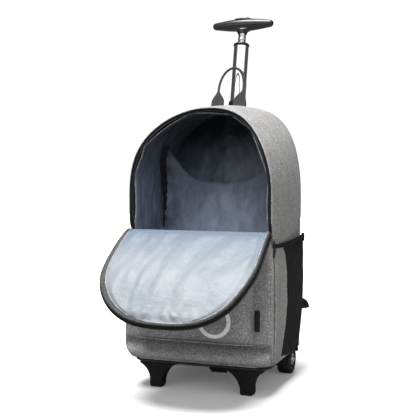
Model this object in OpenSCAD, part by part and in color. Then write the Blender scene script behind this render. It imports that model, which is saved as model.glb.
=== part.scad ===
// Wheeled backpack for a laptop: soft arched body on a moulded base tray, two rear wheels,
// two front feet, one telescopic pole with a T-grip, and a D-shaped front flap that folds down.
// Millimetres, +Z up, the front faces -Y. The origin is under the middle of the whole object.

/* [Body] */
// Half of the body's width
half_w = 140; // [136:1:142]
// Height where the straight sides end and the arch begins
arch_z = 405; // [395:1:415]
// Thickness of the padded fabric walls
wall = 5; // [4:0.5:6]
// Underside of the fabric body
body_z = 61; // [61:0.5:62]
// Height of the fold line of the front flap
fold_z = 305; // [300:1:312]
// Distance of the lower front face from the front of the feet
front_y = -14; // [-15:0.5:-12]
// Depth of the body's rear face at its base
rear_y = 208; // [206:1:212]
// Backward lean of the rear face
rear_lean = 5.1; // [4.5:0.1:5.5]
// Upward slope of the top, front to rear
top_slope = 4.2; // [3:0.1:5]

/* [Front flap] */
// Length of the flap from its fold to its tip
flap_len = 236; // [230:1:238]
// Length of the flap's lower section
flap_split = 150; // [140:1:155]
// Droop of the lower section below the horizontal when the flap hangs open
flap_droop = 36; // [34:1:40]
// Droop of the tip section below the horizontal when the flap hangs open
tip_droop = 50; // [46:1:54]
// Thickness of the padded flap
flap_t = 7; // [6:0.5:7]

/* [Pole] */
// Backward lean of the pole
pole_lean = 12; // [11:0.5:12.5]
// Depth of the pole's axis where it leaves the top of the body
pole_y = 226; // [225:0.5:227]
// Height at which the pole leaves the top of the body
pole_z = 562; // [561:0.5:563]
// Outer radius of the thick drawn-out tube
stage1_r = 16; // [15.5:0.1:16.2]
// Outer radius of the thin upper tube
stage2_r = 8; // [7.5:0.1:8.5]
// Length of thick tube that stands out of the body
stage1_out = 140; // [120:1:142]
// Length of thin tube from the thick tube to its end inside the grip
stage2_out = 34; // [28:1:38]
// Width of the T-grip
grip_w = 138; // [130:1:140]
// Radius of the T-grip at its middle
grip_r = 13; // [12:0.5:13]

/* [Wheels and feet] */
// Wheel radius
wheel_r = 30; // [28:0.5:30]
// Wheel width
wheel_w = 26; // [24:1:26]
// Distance of a wheel's middle from the centre plane
wheel_x = 118; // [117:0.5:119]
// Depth of the wheel axles
wheel_y = 200; // [198:1:202]
// Height of the tray's underside
tray_z = 52; // [50:1:52]
// Half distance between the outer sides of the feet
foot_out = 104.5; // [100:0.5:106]
// Half distance between the inner sides of the feet
foot_in = 81; // [78:0.5:84]
// Depth of a foot
foot_d = 25; // [22:1:28]

/* [Hidden] */
$fn = 64;
eps = 0.01;

// The whole object reaches from the flap's tip to the back of the grip: this centres it
y_middle = 38.5;

wall_in = half_w - wall;
rear_slope = tan(rear_lean);
back_t = 8;
rim_r = 157;             // radius of the opening's backward curve
rim_z = 437;             // height where that curve begins
tray_top = body_z;
pad_t = 3;
corner_r = 26;
front_seam_y = 12;
axle_r = 4;
bearing_r = 11;
tube_wall = 1.8;
fixed_in_r = stage1_r + 0.4;
fixed_r = fixed_in_r + tube_wall;
lining_gap = 24;         // pole axis to the face of the rear lining
sleeve_gap = 60;         // pole axis to the face of the laptop sleeve
stage1_len = 400;
stage2_len = 250;
grip_s = stage1_out + stage2_out + 8;    // grip's middle along the pole
pocket_front = -42;
pocket_half = 124;
pocket_z = [98, 282];
side_pocket_z = [70, 271];
band_h = 12;
side_out = 10;           // how far a side pocket stands off the gusset
flap_half = half_w + 1;
tape_w = 6;
fold_gap = 2;
screw_r = 2;
screw_x = 95;            // clamp screws, either side of the middle
screw_y = [12, 120];
wheel_room_r = wheel_r + 8;
housing_r = wheel_r + 7;
pole_hole_r = 21;
grip_screw_x = 32;
foot_s = -562;           // lower end of the pole socket along the pole
stage2_top = stage1_out + stage2_out;
slider_at = [half_w, 4, fold_z - 18];
loop_base = [175.4, 559.5];
loop_lean = 21;
lock_at = [128, 70];     // ladder lock, across and up the rear face

function rear_at(z) = rear_y + (z - body_z) * rear_slope;

// ---- frames ----------------------------------------------------------------

module placed() { translate([0, -y_middle, 0]) children(); }

// Origin where the pole leaves the body, +Z up along the pole
module along_pole() { placed() translate([0, pole_y, pole_z]) rotate([-pole_lean, 0, 0]) children(); }

// Origin on the rear face at its base, +Z up along that leaning face, +Y away from it
module on_back() { placed() translate([0, rear_y, body_z]) rotate([-rear_lean, 0, 0]) children(); }

// Origin on the fold line; drawn in XY with +Y along the flap and +Z to its lining side
module on_flap() {
    placed() translate([0, front_y, fold_z]) rotate([flap_droop, 0, 0]) rotate([0, 0, 180]) children();
}

// The same for the tip section, with the origin on the line where the flap bends
module on_tip() {
    on_flap() translate([0, flap_split, flap_t / 2])
        rotate([flap_droop - tip_droop, 0, 0]) translate([0, 0, -flap_t / 2]) children();
}

// Drawn in XY as the X and Z of the object, extruded from y0 to y1
module facing(y0, y1) { translate([0, y1, 0]) rotate([90, 0, 0]) linear_extrude(y1 - y0) children(); }

// Drawn in XY as the Y and Z of the object, extruded from x0 to x1
module sideways(x0, x1) { translate([x0, 0, 0]) rotate([90, 0, 90]) linear_extrude(x1 - x0) children(); }

module mirrored_pair() { children(); mirror([1, 0, 0]) children(); }

module tube(r_out, r_in, s0, s1) {
    difference() {
        translate([0, 0, s0]) cylinder(r = r_out, h = s1 - s0);
        translate([0, 0, s0 - 1]) cylinder(r = r_in, h = s1 - s0 + 2);
    }
}

// ---- outlines --------------------------------------------------------------

// Arch with straight sides, from height z0 up
module arch_2d(r, z0, z_mid) {
    translate([-r, z0]) square([2 * r, z_mid - z0]);
    translate([0, z_mid]) circle(r = r, $fn = 128);
}

// Rectangle from corner a to corner b with round corners
module round_rect_2d(a, b, r) {
    translate([a[0] + r, a[1]]) square([b[0] - a[0] - 2 * r, b[1] - a[1]]);
    translate([a[0], a[1] + r]) square([b[0] - a[0], b[1] - a[1] - 2 * r]);
    for (x = [a[0] + r, b[0] - r], y = [a[1] + r, b[1] - r]) translate([x, y]) circle(r = r);
}

// Side view of the body above the fold line, as a solid across the whole width
module body_side_2d(inset) {
    top = 600;
    difference() {
        polygon([
            [inset, fold_z], [rear_at(fold_z) - inset, fold_z],
            [rear_at(top) - inset, top], [inset, top]
        ]);
        difference() {
            translate([inset - 1, rim_z]) square([rim_r, 200]);
            translate([rim_r + inset, rim_z]) circle(r = rim_r, $fn = 160);
        }
    }
}

// The sloping arch of the body's outer skin, r inside or outside it by the amount given
module arch_bar(r) {
    translate([0, 43, 0]) rotate([top_slope, 0, 0]) translate([0, -60, 0])
        facing(0, 300) arch_2d(r, 200, arch_z / cos(top_slope));
}

// ---- base ------------------------------------------------------------------

// Room for the wheels and their housings, open to the sides
module wheel_cuts() {
    for (side = [-1, 1]) translate([side * (wheel_x + 10), wheel_y, wheel_r]) rotate([0, 90, 0])
        cylinder(r = wheel_room_r, h = wheel_w + 46, center = true);
}

module base_tray() {
    color([0.05, 0.05, 0.055]) difference() {
        placed() translate([0, 0, tray_z]) linear_extrude(tray_top - tray_z)
            round_rect_2d([-half_w + 2, front_y + 2], [half_w - 2, rear_y + 4], 30);
        placed() wheel_cuts();
        along_pole() translate([0, 0, foot_s - 38]) cylinder(r = pole_hole_r, h = 200);
        placed() for (x = [-screw_x, screw_x], y = screw_y) translate([x, y, tray_z - 1])
            cylinder(r = screw_r + 0.2, h = 20);
    }
}

module front_stand() {
    inner_r = 43;
    outer_r = 34;
    color([0.05, 0.05, 0.055]) placed() difference() {
        facing(0, foot_d) difference() {
            translate([-126, pad_t]) square([252, tray_z - pad_t]);
            translate([-foot_in + inner_r, pad_t - 1]) square([2 * (foot_in - inner_r), 49.5 - pad_t]);
            for (side = [-1, 1]) {
                translate([side * (foot_in - inner_r), 48.5 - inner_r]) circle(r = inner_r);
                translate([side * (foot_in - inner_r / 2), (48.5 - inner_r) / 2])
                    square([inner_r, 48.5 - inner_r], center = true);
                translate([side * (foot_out + outer_r), 14]) circle(r = outer_r);
                translate([side * (foot_out + 20), 7]) square([40, 14], center = true);
            }
        }
        for (x = [-screw_x, screw_x]) {
            translate([x, screw_y[0], pad_t + 8]) cylinder(r = screw_r + 0.2, h = 60);
            translate([x, screw_y[0], pad_t - 1]) cylinder(r = 5, h = 24);
        }
    }
}

module foot_pads() {
    color([0.08, 0.08, 0.08]) placed() for (side = [-1, 1])
        translate([side * (foot_in + foot_out) / 2, foot_d / 2, 0]) linear_extrude(pad_t)
            round_rect_2d([-11.5, -12.3], [11.5, 12.3], 3);
}

module base_board() {
    color([0.2, 0.2, 0.2]) difference() {
        placed() translate([0, 0, body_z]) linear_extrude(3)
            round_rect_2d([-wall_in + 1, front_y + wall + 1], [wall_in - 1, rear_y - back_t - 2], 20);
        placed() wheel_cuts();
        along_pole() translate([0, 0, foot_s - 38]) cylinder(r = pole_hole_r, h = 200);
        placed() for (x = [-screw_x, screw_x], y = screw_y) translate([x, y, body_z - 1])
            cylinder(r = screw_r + 0.2, h = 8);
    }
}

// Four screws that clamp the tray, and at the front the feet, to the inner board
module base_screws() {
    color([0.6, 0.6, 0.62]) placed() for (x = [-screw_x, screw_x]) {
        translate([x, screw_y[0], pad_t + 19]) cylinder(r = 4, h = 3);
        translate([x, screw_y[0], pad_t + 21]) cylinder(r = screw_r, h = 42);
        translate([x, screw_y[1], tray_z - 2.5]) cylinder(r = 4, h = 2.5);
        translate([x, screw_y[1], tray_z - 1]) cylinder(r = screw_r, h = 14);
    }
}

module rear_guard() {
    color([0.06, 0.06, 0.065]) on_back() translate([-100, 0.3, 4]) cube([200, 4, 44]);
}

// ---- wheels ----------------------------------------------------------------

module wheel_frame(side) {
    placed() mirror([side > 0 ? 0 : 1, 0, 0]) translate([wheel_x, wheel_y, wheel_r]) rotate([0, 90, 0])
        children();
}

// Inner cheek that carries the axle, and the arch over the wheel
module wheel_housing(side) {
    cheek = -wheel_w / 2 - 12;
    color([0.05, 0.05, 0.055]) difference() {
        wheel_frame(side) {
            translate([0, 0, cheek]) cylinder(r = 16, h = 9);
            difference() {
                translate([0, 0, cheek]) cylinder(r = housing_r, h = wheel_w + 16);
                translate([0, 0, cheek + 9]) cylinder(r = housing_r - 3.5, h = wheel_w + 20);
                translate([-10, -60, cheek - 1]) cube([120, 120, wheel_w + 30]);
            }
            translate([-12, -16, cheek]) cube([12, 32, 9]);
        }
        wheel_frame(side) translate([0, 0, cheek - 1]) cylinder(r = axle_r + 0.05, h = 12);
        placed() translate([-200, 0, 64.5]) cube([400, 300, 20]);
    }
}
module wheel_housing_left() { wheel_housing(-1); }
module wheel_housing_right() { wheel_housing(1); }

// Shoulder bolt with a domed head outside, and its lock nut behind the cheek
module wheel_axles() {
    color([0.75, 0.75, 0.77]) for (side = [-1, 1]) wheel_frame(side) {
        translate([0, 0, -wheel_w / 2 - 20]) cylinder(r = axle_r, h = wheel_w + 20);
        intersection() {
            translate([0, 0, wheel_w / 2 - 5.5]) sphere(r = 10);
            translate([0, 0, wheel_w / 2]) cylinder(r = 8, h = 8);
        }
        difference() {
            translate([0, 0, -wheel_w / 2 - 18.5]) cylinder(r = 7, h = 6, $fn = 6);
            translate([0, 0, -wheel_w / 2 - 19]) cylinder(r = axle_r, h = 8);
        }
    }
}

module tyre(side) {
    w = wheel_w / 2;
    color([0.12, 0.12, 0.12]) wheel_frame(side) rotate_extrude($fn = 96) difference() {
        translate([wheel_r - 8, -w]) square([8, wheel_w]);
        for (end = [-1, 1]) difference() {
            translate([wheel_r - 5, end * (w - 2.5) - 2.5]) square(5);
            translate([wheel_r - 5, end * (w - 5)]) circle(r = 5);
        }
    }
}
module tyre_left() { tyre(-1); }
module tyre_right() { tyre(1); }

module wheel_hub(side) {
    w = wheel_w / 2;
    color([0.16, 0.16, 0.17]) wheel_frame(side) difference() {
        translate([0, 0, -w + 0.5]) cylinder(r = wheel_r - 8, h = wheel_w - 1);
        for (end = [-1, 1]) translate([0, 0, end * (w - 3)]) difference() {
            cylinder(r = wheel_r - 10.5, h = 8, center = true);
            cylinder(r = 13.5, h = 9, center = true);
        }
        for (turn = [0:72:359]) rotate([0, 0, turn]) translate([16.4, 0, -w]) cylinder(r = 2.4, h = wheel_w);
        for (end = [-1, 1]) translate([0, 0, end * (w - 3.5)])
            cylinder(r = bearing_r, h = 7 + eps, center = true);
        translate([0, 0, -w]) cylinder(r = 7, h = wheel_w);
    }
}
module wheel_hub_left() { wheel_hub(-1); }
module wheel_hub_right() { wheel_hub(1); }

module wheel_bearings(side) {
    color([0.7, 0.7, 0.72]) wheel_frame(side) for (end = [-1, 1])
        translate([0, 0, end * (wheel_w / 2 - 3.6)]) tube(bearing_r, axle_r + 0.05, -3.4, 3.4);
}
module wheel_bearings_left() { wheel_bearings(-1); }
module wheel_bearings_right() { wheel_bearings(1); }

// ---- pole ------------------------------------------------------------------

module pole_socket() {
    color([0.05, 0.05, 0.055]) along_pole() difference() {
        union() {
            translate([0, 0, foot_s + 4]) cylinder(r = 20, h = 66);
            translate([0, 0, foot_s]) cylinder(r = 17, h = 6);
        }
        translate([0, 0, foot_s + 12]) cylinder(r = fixed_r, h = 80);
    }
}

module pole_fixed_tube() {
    color([0.8, 0.81, 0.83]) along_pole() tube(fixed_r, fixed_in_r, foot_s + 12, -6);
}

module pole_guide_collar() {
    color([0.05, 0.05, 0.055]) along_pole() tube(19, stage1_r + 0.05, -6, 8);
}

module stage1_tube() {
    color([0.85, 0.86, 0.88]) along_pole()
        tube(stage1_r, stage1_r - 1.8, stage1_out - stage1_len, stage1_out - 8);
}

// Black bush in the top of the thick tube, bored for the thin one
module stage1_collar() {
    color([0.05, 0.05, 0.055]) along_pole() {
        tube(stage1_r + 0.7, stage2_r + 0.05, stage1_out - 8, stage1_out);
        tube(stage1_r - 1.8, stage2_r + 0.05, stage1_out - 22, stage1_out - 8);
    }
}

module stage1_glide() {
    color([0.1, 0.1, 0.1]) along_pole()
        tube(fixed_in_r - 0.05, stage2_r + 3, stage1_out - stage1_len - 14, stage1_out - stage1_len);
}

module stage2_tube() {
    color([0.85, 0.86, 0.88]) along_pole()
        tube(stage2_r, stage2_r - 1.5, stage2_top - stage2_len, stage2_top);
}

module stage2_glide() {
    color([0.1, 0.1, 0.1]) along_pole()
        tube(stage1_r - 1.85, stage2_r - 1.5, stage2_top - stage2_len - 12, stage2_top - stage2_len);
}

// Round grip, thick in the middle and thin at its ends
module grip_solid() {
    end_r = 6.5;
    reach = grip_w / 2 - end_r;
    steps = 10;
    half = [
        for (i = [0:steps])
            let (t = i / steps) [end_r + (grip_r - end_r) * pow(1 - t * t, 1.3), reach * t]
    ];
    cap = [for (a = [22.5:22.5:67.5]) [end_r * cos(a), reach + end_r * sin(a)]];
    upper = concat(half, cap, [[0, grip_w / 2]]);
    lower = [for (i = [len(upper) - 1:-1:1]) [upper[i][0], -upper[i][1]]];
    rotate([0, 90, 0]) rotate_extrude($fn = 48) polygon(concat(lower, upper));
}

module grip_lower_shell() {
    color([0.05, 0.05, 0.055]) along_pole() difference() {
        union() {
            intersection() {
                translate([0, 0, grip_s]) grip_solid();
                translate([-100, -50, grip_s - 60]) cube([200, 100, 60]);
            }
            translate([0, 0, stage2_top - 12]) cylinder(r = 9.5, h = 13);
            translate([0, 0, stage2_top - 9]) cylinder(r1 = 9.5, r2 = 14.5, h = 7);
        }
        translate([0, 0, stage2_top - 13]) cylinder(r = stage2_r, h = 13);
        translate([0, 0, stage2_top - eps]) cylinder(r = stage2_r - 1.5, h = 60);
        translate([0, 0, grip_s - 4]) cylinder(r = 10.5, h = 20);
        for (x = [-grip_screw_x, grip_screw_x]) {
            translate([x, 0, grip_s - 30]) cylinder(r = 1.7, h = 40);
            translate([x, 0, grip_s - 30]) cylinder(r = 3, h = 22.5);
        }
    }
}

module grip_upper_shell() {
    color([0.05, 0.05, 0.055]) along_pole() difference() {
        intersection() {
            translate([0, 0, grip_s]) grip_solid();
            translate([-100, -50, grip_s]) cube([200, 100, 60]);
        }
        translate([0, 0, grip_s - 1]) linear_extrude(30) round_rect_2d([-17.5, -9], [17.5, 9], 8.9);
        for (x = [-grip_screw_x, grip_screw_x]) translate([x, 0, grip_s - 1]) cylinder(r = 1.2, h = 6);
    }
}

module button_bezel() {
    color([0.1, 0.1, 0.1]) along_pole() translate([0, 0, grip_s]) difference() {
        union() {
            linear_extrude(12.6) round_rect_2d([-17.4, -8.9], [17.4, 8.9], 8.8);
            translate([0, 0, 12.6]) linear_extrude(2.1) round_rect_2d([-20, -10], [20, 10], 9.9);
        }
        translate([0, 0, -1]) linear_extrude(20) round_rect_2d([-13.4, -7.4], [13.4, 7.4], 7.3);
    }
}

module grip_screws() {
    color([0.7, 0.7, 0.72]) along_pole() for (x = [-grip_screw_x, grip_screw_x]) {
        translate([x, 0, grip_s - 10]) cylinder(r = 2.8, h = 2.4);
        translate([x, 0, grip_s - 8]) cylinder(r = 1.5, h = 7.9);
    }
}

module handle_button() {
    color([0.75, 0.75, 0.77]) along_pole() translate([0, 0, grip_s]) {
        translate([0, 0, 6]) linear_extrude(11.5) round_rect_2d([-13, -7], [13, 7], 6.9);
        translate([0, 0, 1.5]) cylinder(r = 3, h = 5);
    }
}

module lock_rod() {
    low = stage2_top - stage2_len + 8;
    color([0.7, 0.7, 0.72]) along_pole() translate([0, 0, low]) cylinder(r = 3, h = grip_s + 1.5 - low);
}

// Round wire coil round the push rod, under the button
module button_spring() {
    turns = 4;
    steps = 14;
    sides = 6;
    wire = 0.6;
    coil_r = 5;
    coil_h = 8.4;
    rings = turns * steps;
    points = [
        for (i = [0:rings], j = [0:sides - 1])
            let (a = 360 * i / steps, b = 360 * j / sides, r = coil_r + wire * cos(b))
                [r * cos(a), r * sin(a), coil_h * i / rings + wire * sin(b)]
    ];
    walls = [
        for (i = [0:rings - 1], j = [0:sides - 1])
            let (k = (j + 1) % sides)
                [i * sides + j, i * sides + k, (i + 1) * sides + k, (i + 1) * sides + j]
    ];
    ends = [[for (j = [sides - 1:-1:0]) j], [for (j = [0:sides - 1]) rings * sides + j]];
    color([0.7, 0.7, 0.72]) along_pole() translate([0, 0, grip_s - 3.3])
        polyhedron(points = points, faces = concat(walls, ends), convexity = 6);
}

// ---- soft body -------------------------------------------------------------

// Side wall between the front seam and the rear face, up to the start of the arch
module gusset(side) {
    color([0.55, 0.54, 0.53]) placed() difference() {
        sideways(side > 0 ? wall_in : -half_w, side > 0 ? half_w : -wall_in) polygon([
            [front_seam_y, body_z], [rear_at(body_z), body_z], [rear_at(arch_z), arch_z],
            [0, arch_z], [0, fold_z], [front_seam_y, fold_z]
        ]);
        wheel_cuts();
    }
}
module gusset_left() { gusset(-1); }
module gusset_right() { gusset(1); }

// Arched top band, with the hole that the pole comes out of
module gusset_top() {
    color([0.6, 0.59, 0.58]) difference() {
        placed() intersection() {
            difference() {
                arch_bar(half_w);
                arch_bar(wall_in);
            }
            sideways(-200, 200) body_side_2d(0);
            translate([-200, -50, arch_z]) cube([400, 400, 300]);
        }
        along_pole() translate([0, 0, -60]) cylinder(r = 19.2, h = 120);
    }
}

module front_lower_panel() {
    color([0.55, 0.54, 0.53]) placed() translate([0, 0, body_z]) linear_extrude(fold_z - 1.5 - body_z)
        intersection() {
            difference() {
                round_rect_2d([-half_w, front_y], [half_w, 150], corner_r);
                round_rect_2d([-wall_in, front_y + wall], [wall_in, 150 - wall], corner_r - wall);
            }
            translate([-200, -100]) square([400, 100 + front_seam_y]);
        }
}

// Leaning padded back, set inside the side walls and the arch
module back_panel() {
    color([0.3, 0.3, 0.3]) placed() difference() {
        intersection() {
            union() {
                arch_bar(wall_in - 0.1);
                translate([-wall_in, 0, body_z]) cube([2 * wall_in, 400, 200]);
            }
            sideways(-200, 200) polygon([
                [rear_at(body_z) - back_t, body_z], [rear_at(body_z), body_z],
                [rear_at(600), 600], [rear_at(600) - back_t, 600]
            ]);
        }
        wheel_cuts();
    }
}

// A sheet parallel to the pole, a given distance in front of the pole's axis
module leaning_sheet(gap, t) { along_pole() facing(-gap, t - gap) children(); }

module rear_lining() {
    color([0.12, 0.15, 0.22]) leaning_sheet(lining_gap, 3) arch_2d(wall_in - 0.2, -513, -154);
}

module laptop_sleeve() {
    color([0.14, 0.17, 0.25]) leaning_sheet(sleeve_gap, 4)
        round_rect_2d([1 - wall_in, -520], [wall_in - 1, -182], 30);
}

// Net strips that bind the edges of the laptop sleeve to the side walls
module sleeve_bindings() {
    color([0.04, 0.04, 0.05]) leaning_sheet(sleeve_gap + 4.2, 4) intersection() {
        arch_2d(wall_in - 0.2, -340, -170);
        mirrored_pair() translate([wall_in - 15, -340]) square([20, 240]);
    }
}

// Edging cord round the lower edge of the fabric
module bottom_piping() {
    color([0.45, 0.44, 0.43]) placed() difference() {
        translate([0, 0, body_z]) linear_extrude(4) difference() {
            round_rect_2d([-half_w - 2.5, front_y - 2.5], [half_w + 2.5, rear_y + 2], 28);
            round_rect_2d([-half_w - 0.1, front_y - 0.1], [half_w + 0.1, rear_y + 1], corner_r);
            translate([-200, rear_y - 3]) square([400, 10]);
        }
        wheel_cuts();
    }
}

module front_pocket() {
    color([0.55, 0.54, 0.53]) placed() translate([0, 0, pocket_z[0]])
        linear_extrude(pocket_z[1] - pocket_z[0]) intersection() {
            round_rect_2d([-pocket_half, pocket_front], [pocket_half, 20], 16);
            translate([-200, -100]) square([400, 100 + front_y - 0.05]);
        }
}

module pocket_zipper() {
    color([0.03, 0.03, 0.03]) placed() translate([-pocket_half + 18, pocket_front - 1, pocket_z[1] - 14])
        cube([2 * pocket_half - 36, 1, 6]);
}

// Plain raised ring on the pocket
module badge() {
    color([0.75, 0.75, 0.76]) placed() facing(pocket_front - 0.8, pocket_front) translate([50, 146])
        difference() {
            circle(r = 32);
            circle(r = 24);
        }
}

module side_tag() {
    color([0.03, 0.03, 0.03]) placed() translate([pocket_half, -34, 129]) cube([9, 1.5, 39]);
}

// ---- opening and flap ------------------------------------------------------

// Half of the main zip, on the rim of the opening
module main_zipper() {
    color([0.02, 0.02, 0.02]) placed() intersection() {
        difference() {
            union() {
                arch_bar(half_w);
                translate([-half_w, -100, fold_z]) cube([2 * half_w, 400, 80]);
            }
            union() {
                arch_bar(half_w - 8);
                translate([-half_w + 8, -101, fold_z - 1]) cube([2 * half_w - 16, 402, 92]);
            }
        }
        difference() {
            translate([0, -1.5, 0]) sideways(-200, 200) body_side_2d(0);
            sideways(-201, 201) body_side_2d(-eps);
        }
    }
}

module main_zip_slider() {
    color([0.15, 0.15, 0.15]) placed() translate(slider_at) {
        translate([0.1, -4, 0]) cube([4, 8, 14]);
        difference() {
            translate([4, -2, 2]) cube([5, 4, 7]);
            translate([6.5, -3, 4.5]) rotate([-90, 0, 0]) cylinder(r = 1.25, h = 8, $fn = 24);
        }
    }
}

// Pull tab that hangs from the slider by its own pin
module main_zip_puller() {
    color([0.5, 0.5, 0.52]) placed() translate(slider_at + [6.5, 0, 4.5]) {
        translate([0, -4, 0]) rotate([-90, 0, 0]) cylinder(r = 1.2, h = 8, $fn = 24);
        for (side = [-1, 1]) translate([-1.2, side * 3.3 - 0.7, -26]) cube([2.4, 1.4, 26]);
        translate([-1.2, -4, -30]) cube([2.4, 8, 6]);
    }
}

module flap_base() {
    color([0.6, 0.62, 0.66]) on_flap() linear_extrude(flap_t) intersection() {
        arch_2d(flap_half, 0.8, flap_len - flap_half);
        translate([-200, 0]) square([400, flap_split - fold_gap]);
    }
}

module flap_tip() {
    color([0.6, 0.62, 0.66]) on_tip() linear_extrude(flap_t) intersection() {
        translate([0, -flap_split]) arch_2d(flap_half, 0.8, flap_len - flap_half);
        translate([-200, fold_gap]) square([400, 200]);
    }
}

module flap_tape_2d() {
    difference() {
        arch_2d(flap_half + tape_w, 3, flap_len - flap_half);
        arch_2d(flap_half, 0, flap_len - flap_half);
    }
}

module flap_zipper_base() {
    color([0.02, 0.02, 0.02]) on_flap() translate([0, 0, flap_t - 3]) linear_extrude(2) intersection() {
        flap_tape_2d();
        translate([-200, 0]) square([400, flap_split - fold_gap]);
    }
}

module flap_zipper_tip() {
    color([0.02, 0.02, 0.02]) on_tip() translate([0, 0, flap_t - 3]) linear_extrude(2) intersection() {
        translate([0, -flap_split]) flap_tape_2d();
        translate([-200, fold_gap]) square([400, 200]);
    }
}

// ---- side pockets ----------------------------------------------------------

// Outline of a side pocket in the side view, inset by the amount given
module side_pocket_2d(inset, z0, z1) {
    polygon([
        [front_seam_y + inset, z0], [rear_at(z0) - 4 - inset, z0],
        [rear_at(z1) - 4 - inset, z1], [front_seam_y + inset, z1]
    ]);
}

module side_pocket_wall(z0, z1, floor_t) {
    difference() {
        sideways(half_w + 0.05, half_w + side_out) side_pocket_2d(0, z0, z1);
        sideways(half_w - 1, half_w + side_out - 2) side_pocket_2d(2, z0 + floor_t, z1 + 1);
    }
}

module side_pocket(side) {
    color([0.2, 0.2, 0.2]) placed() mirror([side > 0 ? 0 : 1, 0, 0])
        side_pocket_wall(side_pocket_z[0], side_pocket_z[1], 2);
}
module side_pocket_left() { side_pocket(-1); }
module side_pocket_right() { side_pocket(1); }

module elastic_bands() {
    color([0.02, 0.02, 0.02]) placed() mirrored_pair()
        side_pocket_wall(side_pocket_z[1], side_pocket_z[1] + band_h, -1);
}

// ---- handles and straps ----------------------------------------------------

// Webbing loop whose two rolled ends turn on one line along X
module haul_loop() {
    loop_h = 57.3;
    out_r = 30;
    in_r = 24;
    half_t = 2.5;
    color([0.1, 0.1, 0.1]) placed() translate([0, loop_base[0], loop_base[1]]) rotate([-loop_lean, 0, 0])
        union() {
            facing(-half_t, half_t) {
                difference() {
                    union() {
                        translate([0, loop_h]) circle(r = out_r);
                        translate([-out_r, 17]) square([2 * out_r, loop_h - 17]);
                    }
                    translate([0, loop_h]) circle(r = in_r);
                    translate([-in_r, 0]) square([2 * in_r, loop_h]);
                }
                for (side = [-1, 1]) polygon([
                    [side * 12, 0], [side * 38, 0], [side * 38, 14],
                    [side * 30, 34], [side * 24, 34], [side * 12, 14]
                ]);
            }
            for (side = [-1, 1]) translate([side * 25, 0, 0]) rotate([0, 90, 0])
                cylinder(r = half_t + 0.1, h = 26, center = true);
        }
}

module shoulder_strap(side) {
    color([0.3, 0.3, 0.3]) on_back() mirror([side > 0 ? 0 : 1, 0, 0]) facing(0.3, 12) {
        round_rect_2d([30, 330], [85, 470], 12);
        round_rect_2d([45, 190], [100, 360], 14);
    }
}
module shoulder_strap_left() { shoulder_strap(-1); }
module shoulder_strap_right() { shoulder_strap(1); }

module strap_webbing() {
    color([0.05, 0.05, 0.05]) on_back() mirrored_pair() facing(3, 5)
        polygon([
            [60, 189.9], [85, 189.9],
            [lock_at[0] + 12, lock_at[1] + 16], [lock_at[0] - 12, lock_at[1] + 12]
        ]);
}

module ladder_locks() {
    color([0.03, 0.03, 0.03]) on_back() mirrored_pair() translate([lock_at[0], 0, lock_at[1]]) difference() {
        translate([-16, 2, -14]) cube([32, 7, 26]);
        for (z = [-9, 3]) translate([-12, 0, z - 2.5]) cube([24, 12, 5]);
    }
}

module strap_tabs() {
    color([0.5, 0.5, 0.5]) on_back() mirrored_pair() facing(0.3, 1.9)
        polygon([[lock_at[0] + 12, 22], [lock_at[0] + 12, 66], [lock_at[0] - 12, 66], [lock_at[0] - 20, 40]]);
}

base_tray();
front_stand();
foot_pads();
base_board();
base_screws();
wheel_housing_left();
wheel_housing_right();
wheel_axles();
rear_guard();
tyre_left();
tyre_right();
wheel_hub_left();
wheel_hub_right();
wheel_bearings_left();
wheel_bearings_right();
pole_socket();
pole_fixed_tube();
pole_guide_collar();
stage1_tube();
stage1_collar();
stage1_glide();
stage2_tube();
stage2_glide();
grip_lower_shell();
grip_upper_shell();
button_bezel();
grip_screws();
handle_button();
lock_rod();
button_spring();
gusset_left();
gusset_right();
gusset_top();
front_lower_panel();
back_panel();
rear_lining();
laptop_sleeve();
sleeve_bindings();
bottom_piping();
front_pocket();
pocket_zipper();
badge();
side_tag();
main_zipper();
main_zip_slider();
main_zip_puller();
flap_base();
flap_tip();
flap_zipper_base();
flap_zipper_tip();
side_pocket_left();
side_pocket_right();
elastic_bands();
haul_loop();
shoulder_strap_left();
shoulder_strap_right();
strap_webbing();
ladder_locks();
strap_tabs();
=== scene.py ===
"""A wheeled laptop backpack with its front flap folded down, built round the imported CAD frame."""

from math import atan, atan2, copysign, cos, exp, hypot, pi, radians, sin, tan

import bmesh
import bpy
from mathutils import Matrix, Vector, noise


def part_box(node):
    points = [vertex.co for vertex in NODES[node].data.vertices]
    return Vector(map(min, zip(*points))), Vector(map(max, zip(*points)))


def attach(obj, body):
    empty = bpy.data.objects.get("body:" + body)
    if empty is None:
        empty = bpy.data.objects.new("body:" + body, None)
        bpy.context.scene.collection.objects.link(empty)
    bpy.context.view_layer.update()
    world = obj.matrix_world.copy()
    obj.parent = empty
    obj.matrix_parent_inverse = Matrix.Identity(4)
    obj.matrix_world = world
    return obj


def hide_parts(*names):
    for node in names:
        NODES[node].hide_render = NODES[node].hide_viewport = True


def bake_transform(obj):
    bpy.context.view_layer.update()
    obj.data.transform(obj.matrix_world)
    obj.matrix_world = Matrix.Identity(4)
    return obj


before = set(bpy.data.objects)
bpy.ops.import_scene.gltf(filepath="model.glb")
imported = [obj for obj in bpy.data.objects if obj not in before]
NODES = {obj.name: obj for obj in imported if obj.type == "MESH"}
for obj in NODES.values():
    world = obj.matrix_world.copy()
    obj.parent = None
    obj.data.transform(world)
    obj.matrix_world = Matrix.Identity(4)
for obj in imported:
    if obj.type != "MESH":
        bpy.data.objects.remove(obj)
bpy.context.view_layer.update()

SCENE = bpy.context.scene

# ---- places, in millimetres of the bag's own drawing: X across, Y back from the feet, Z up ----

FEET_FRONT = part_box("front_stand")[0].y


def at(x, y, z):
    """A point of the drawing in the frame's metres."""
    return Vector((x / 1000, FEET_FRONT + y / 1000, z / 1000))


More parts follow.
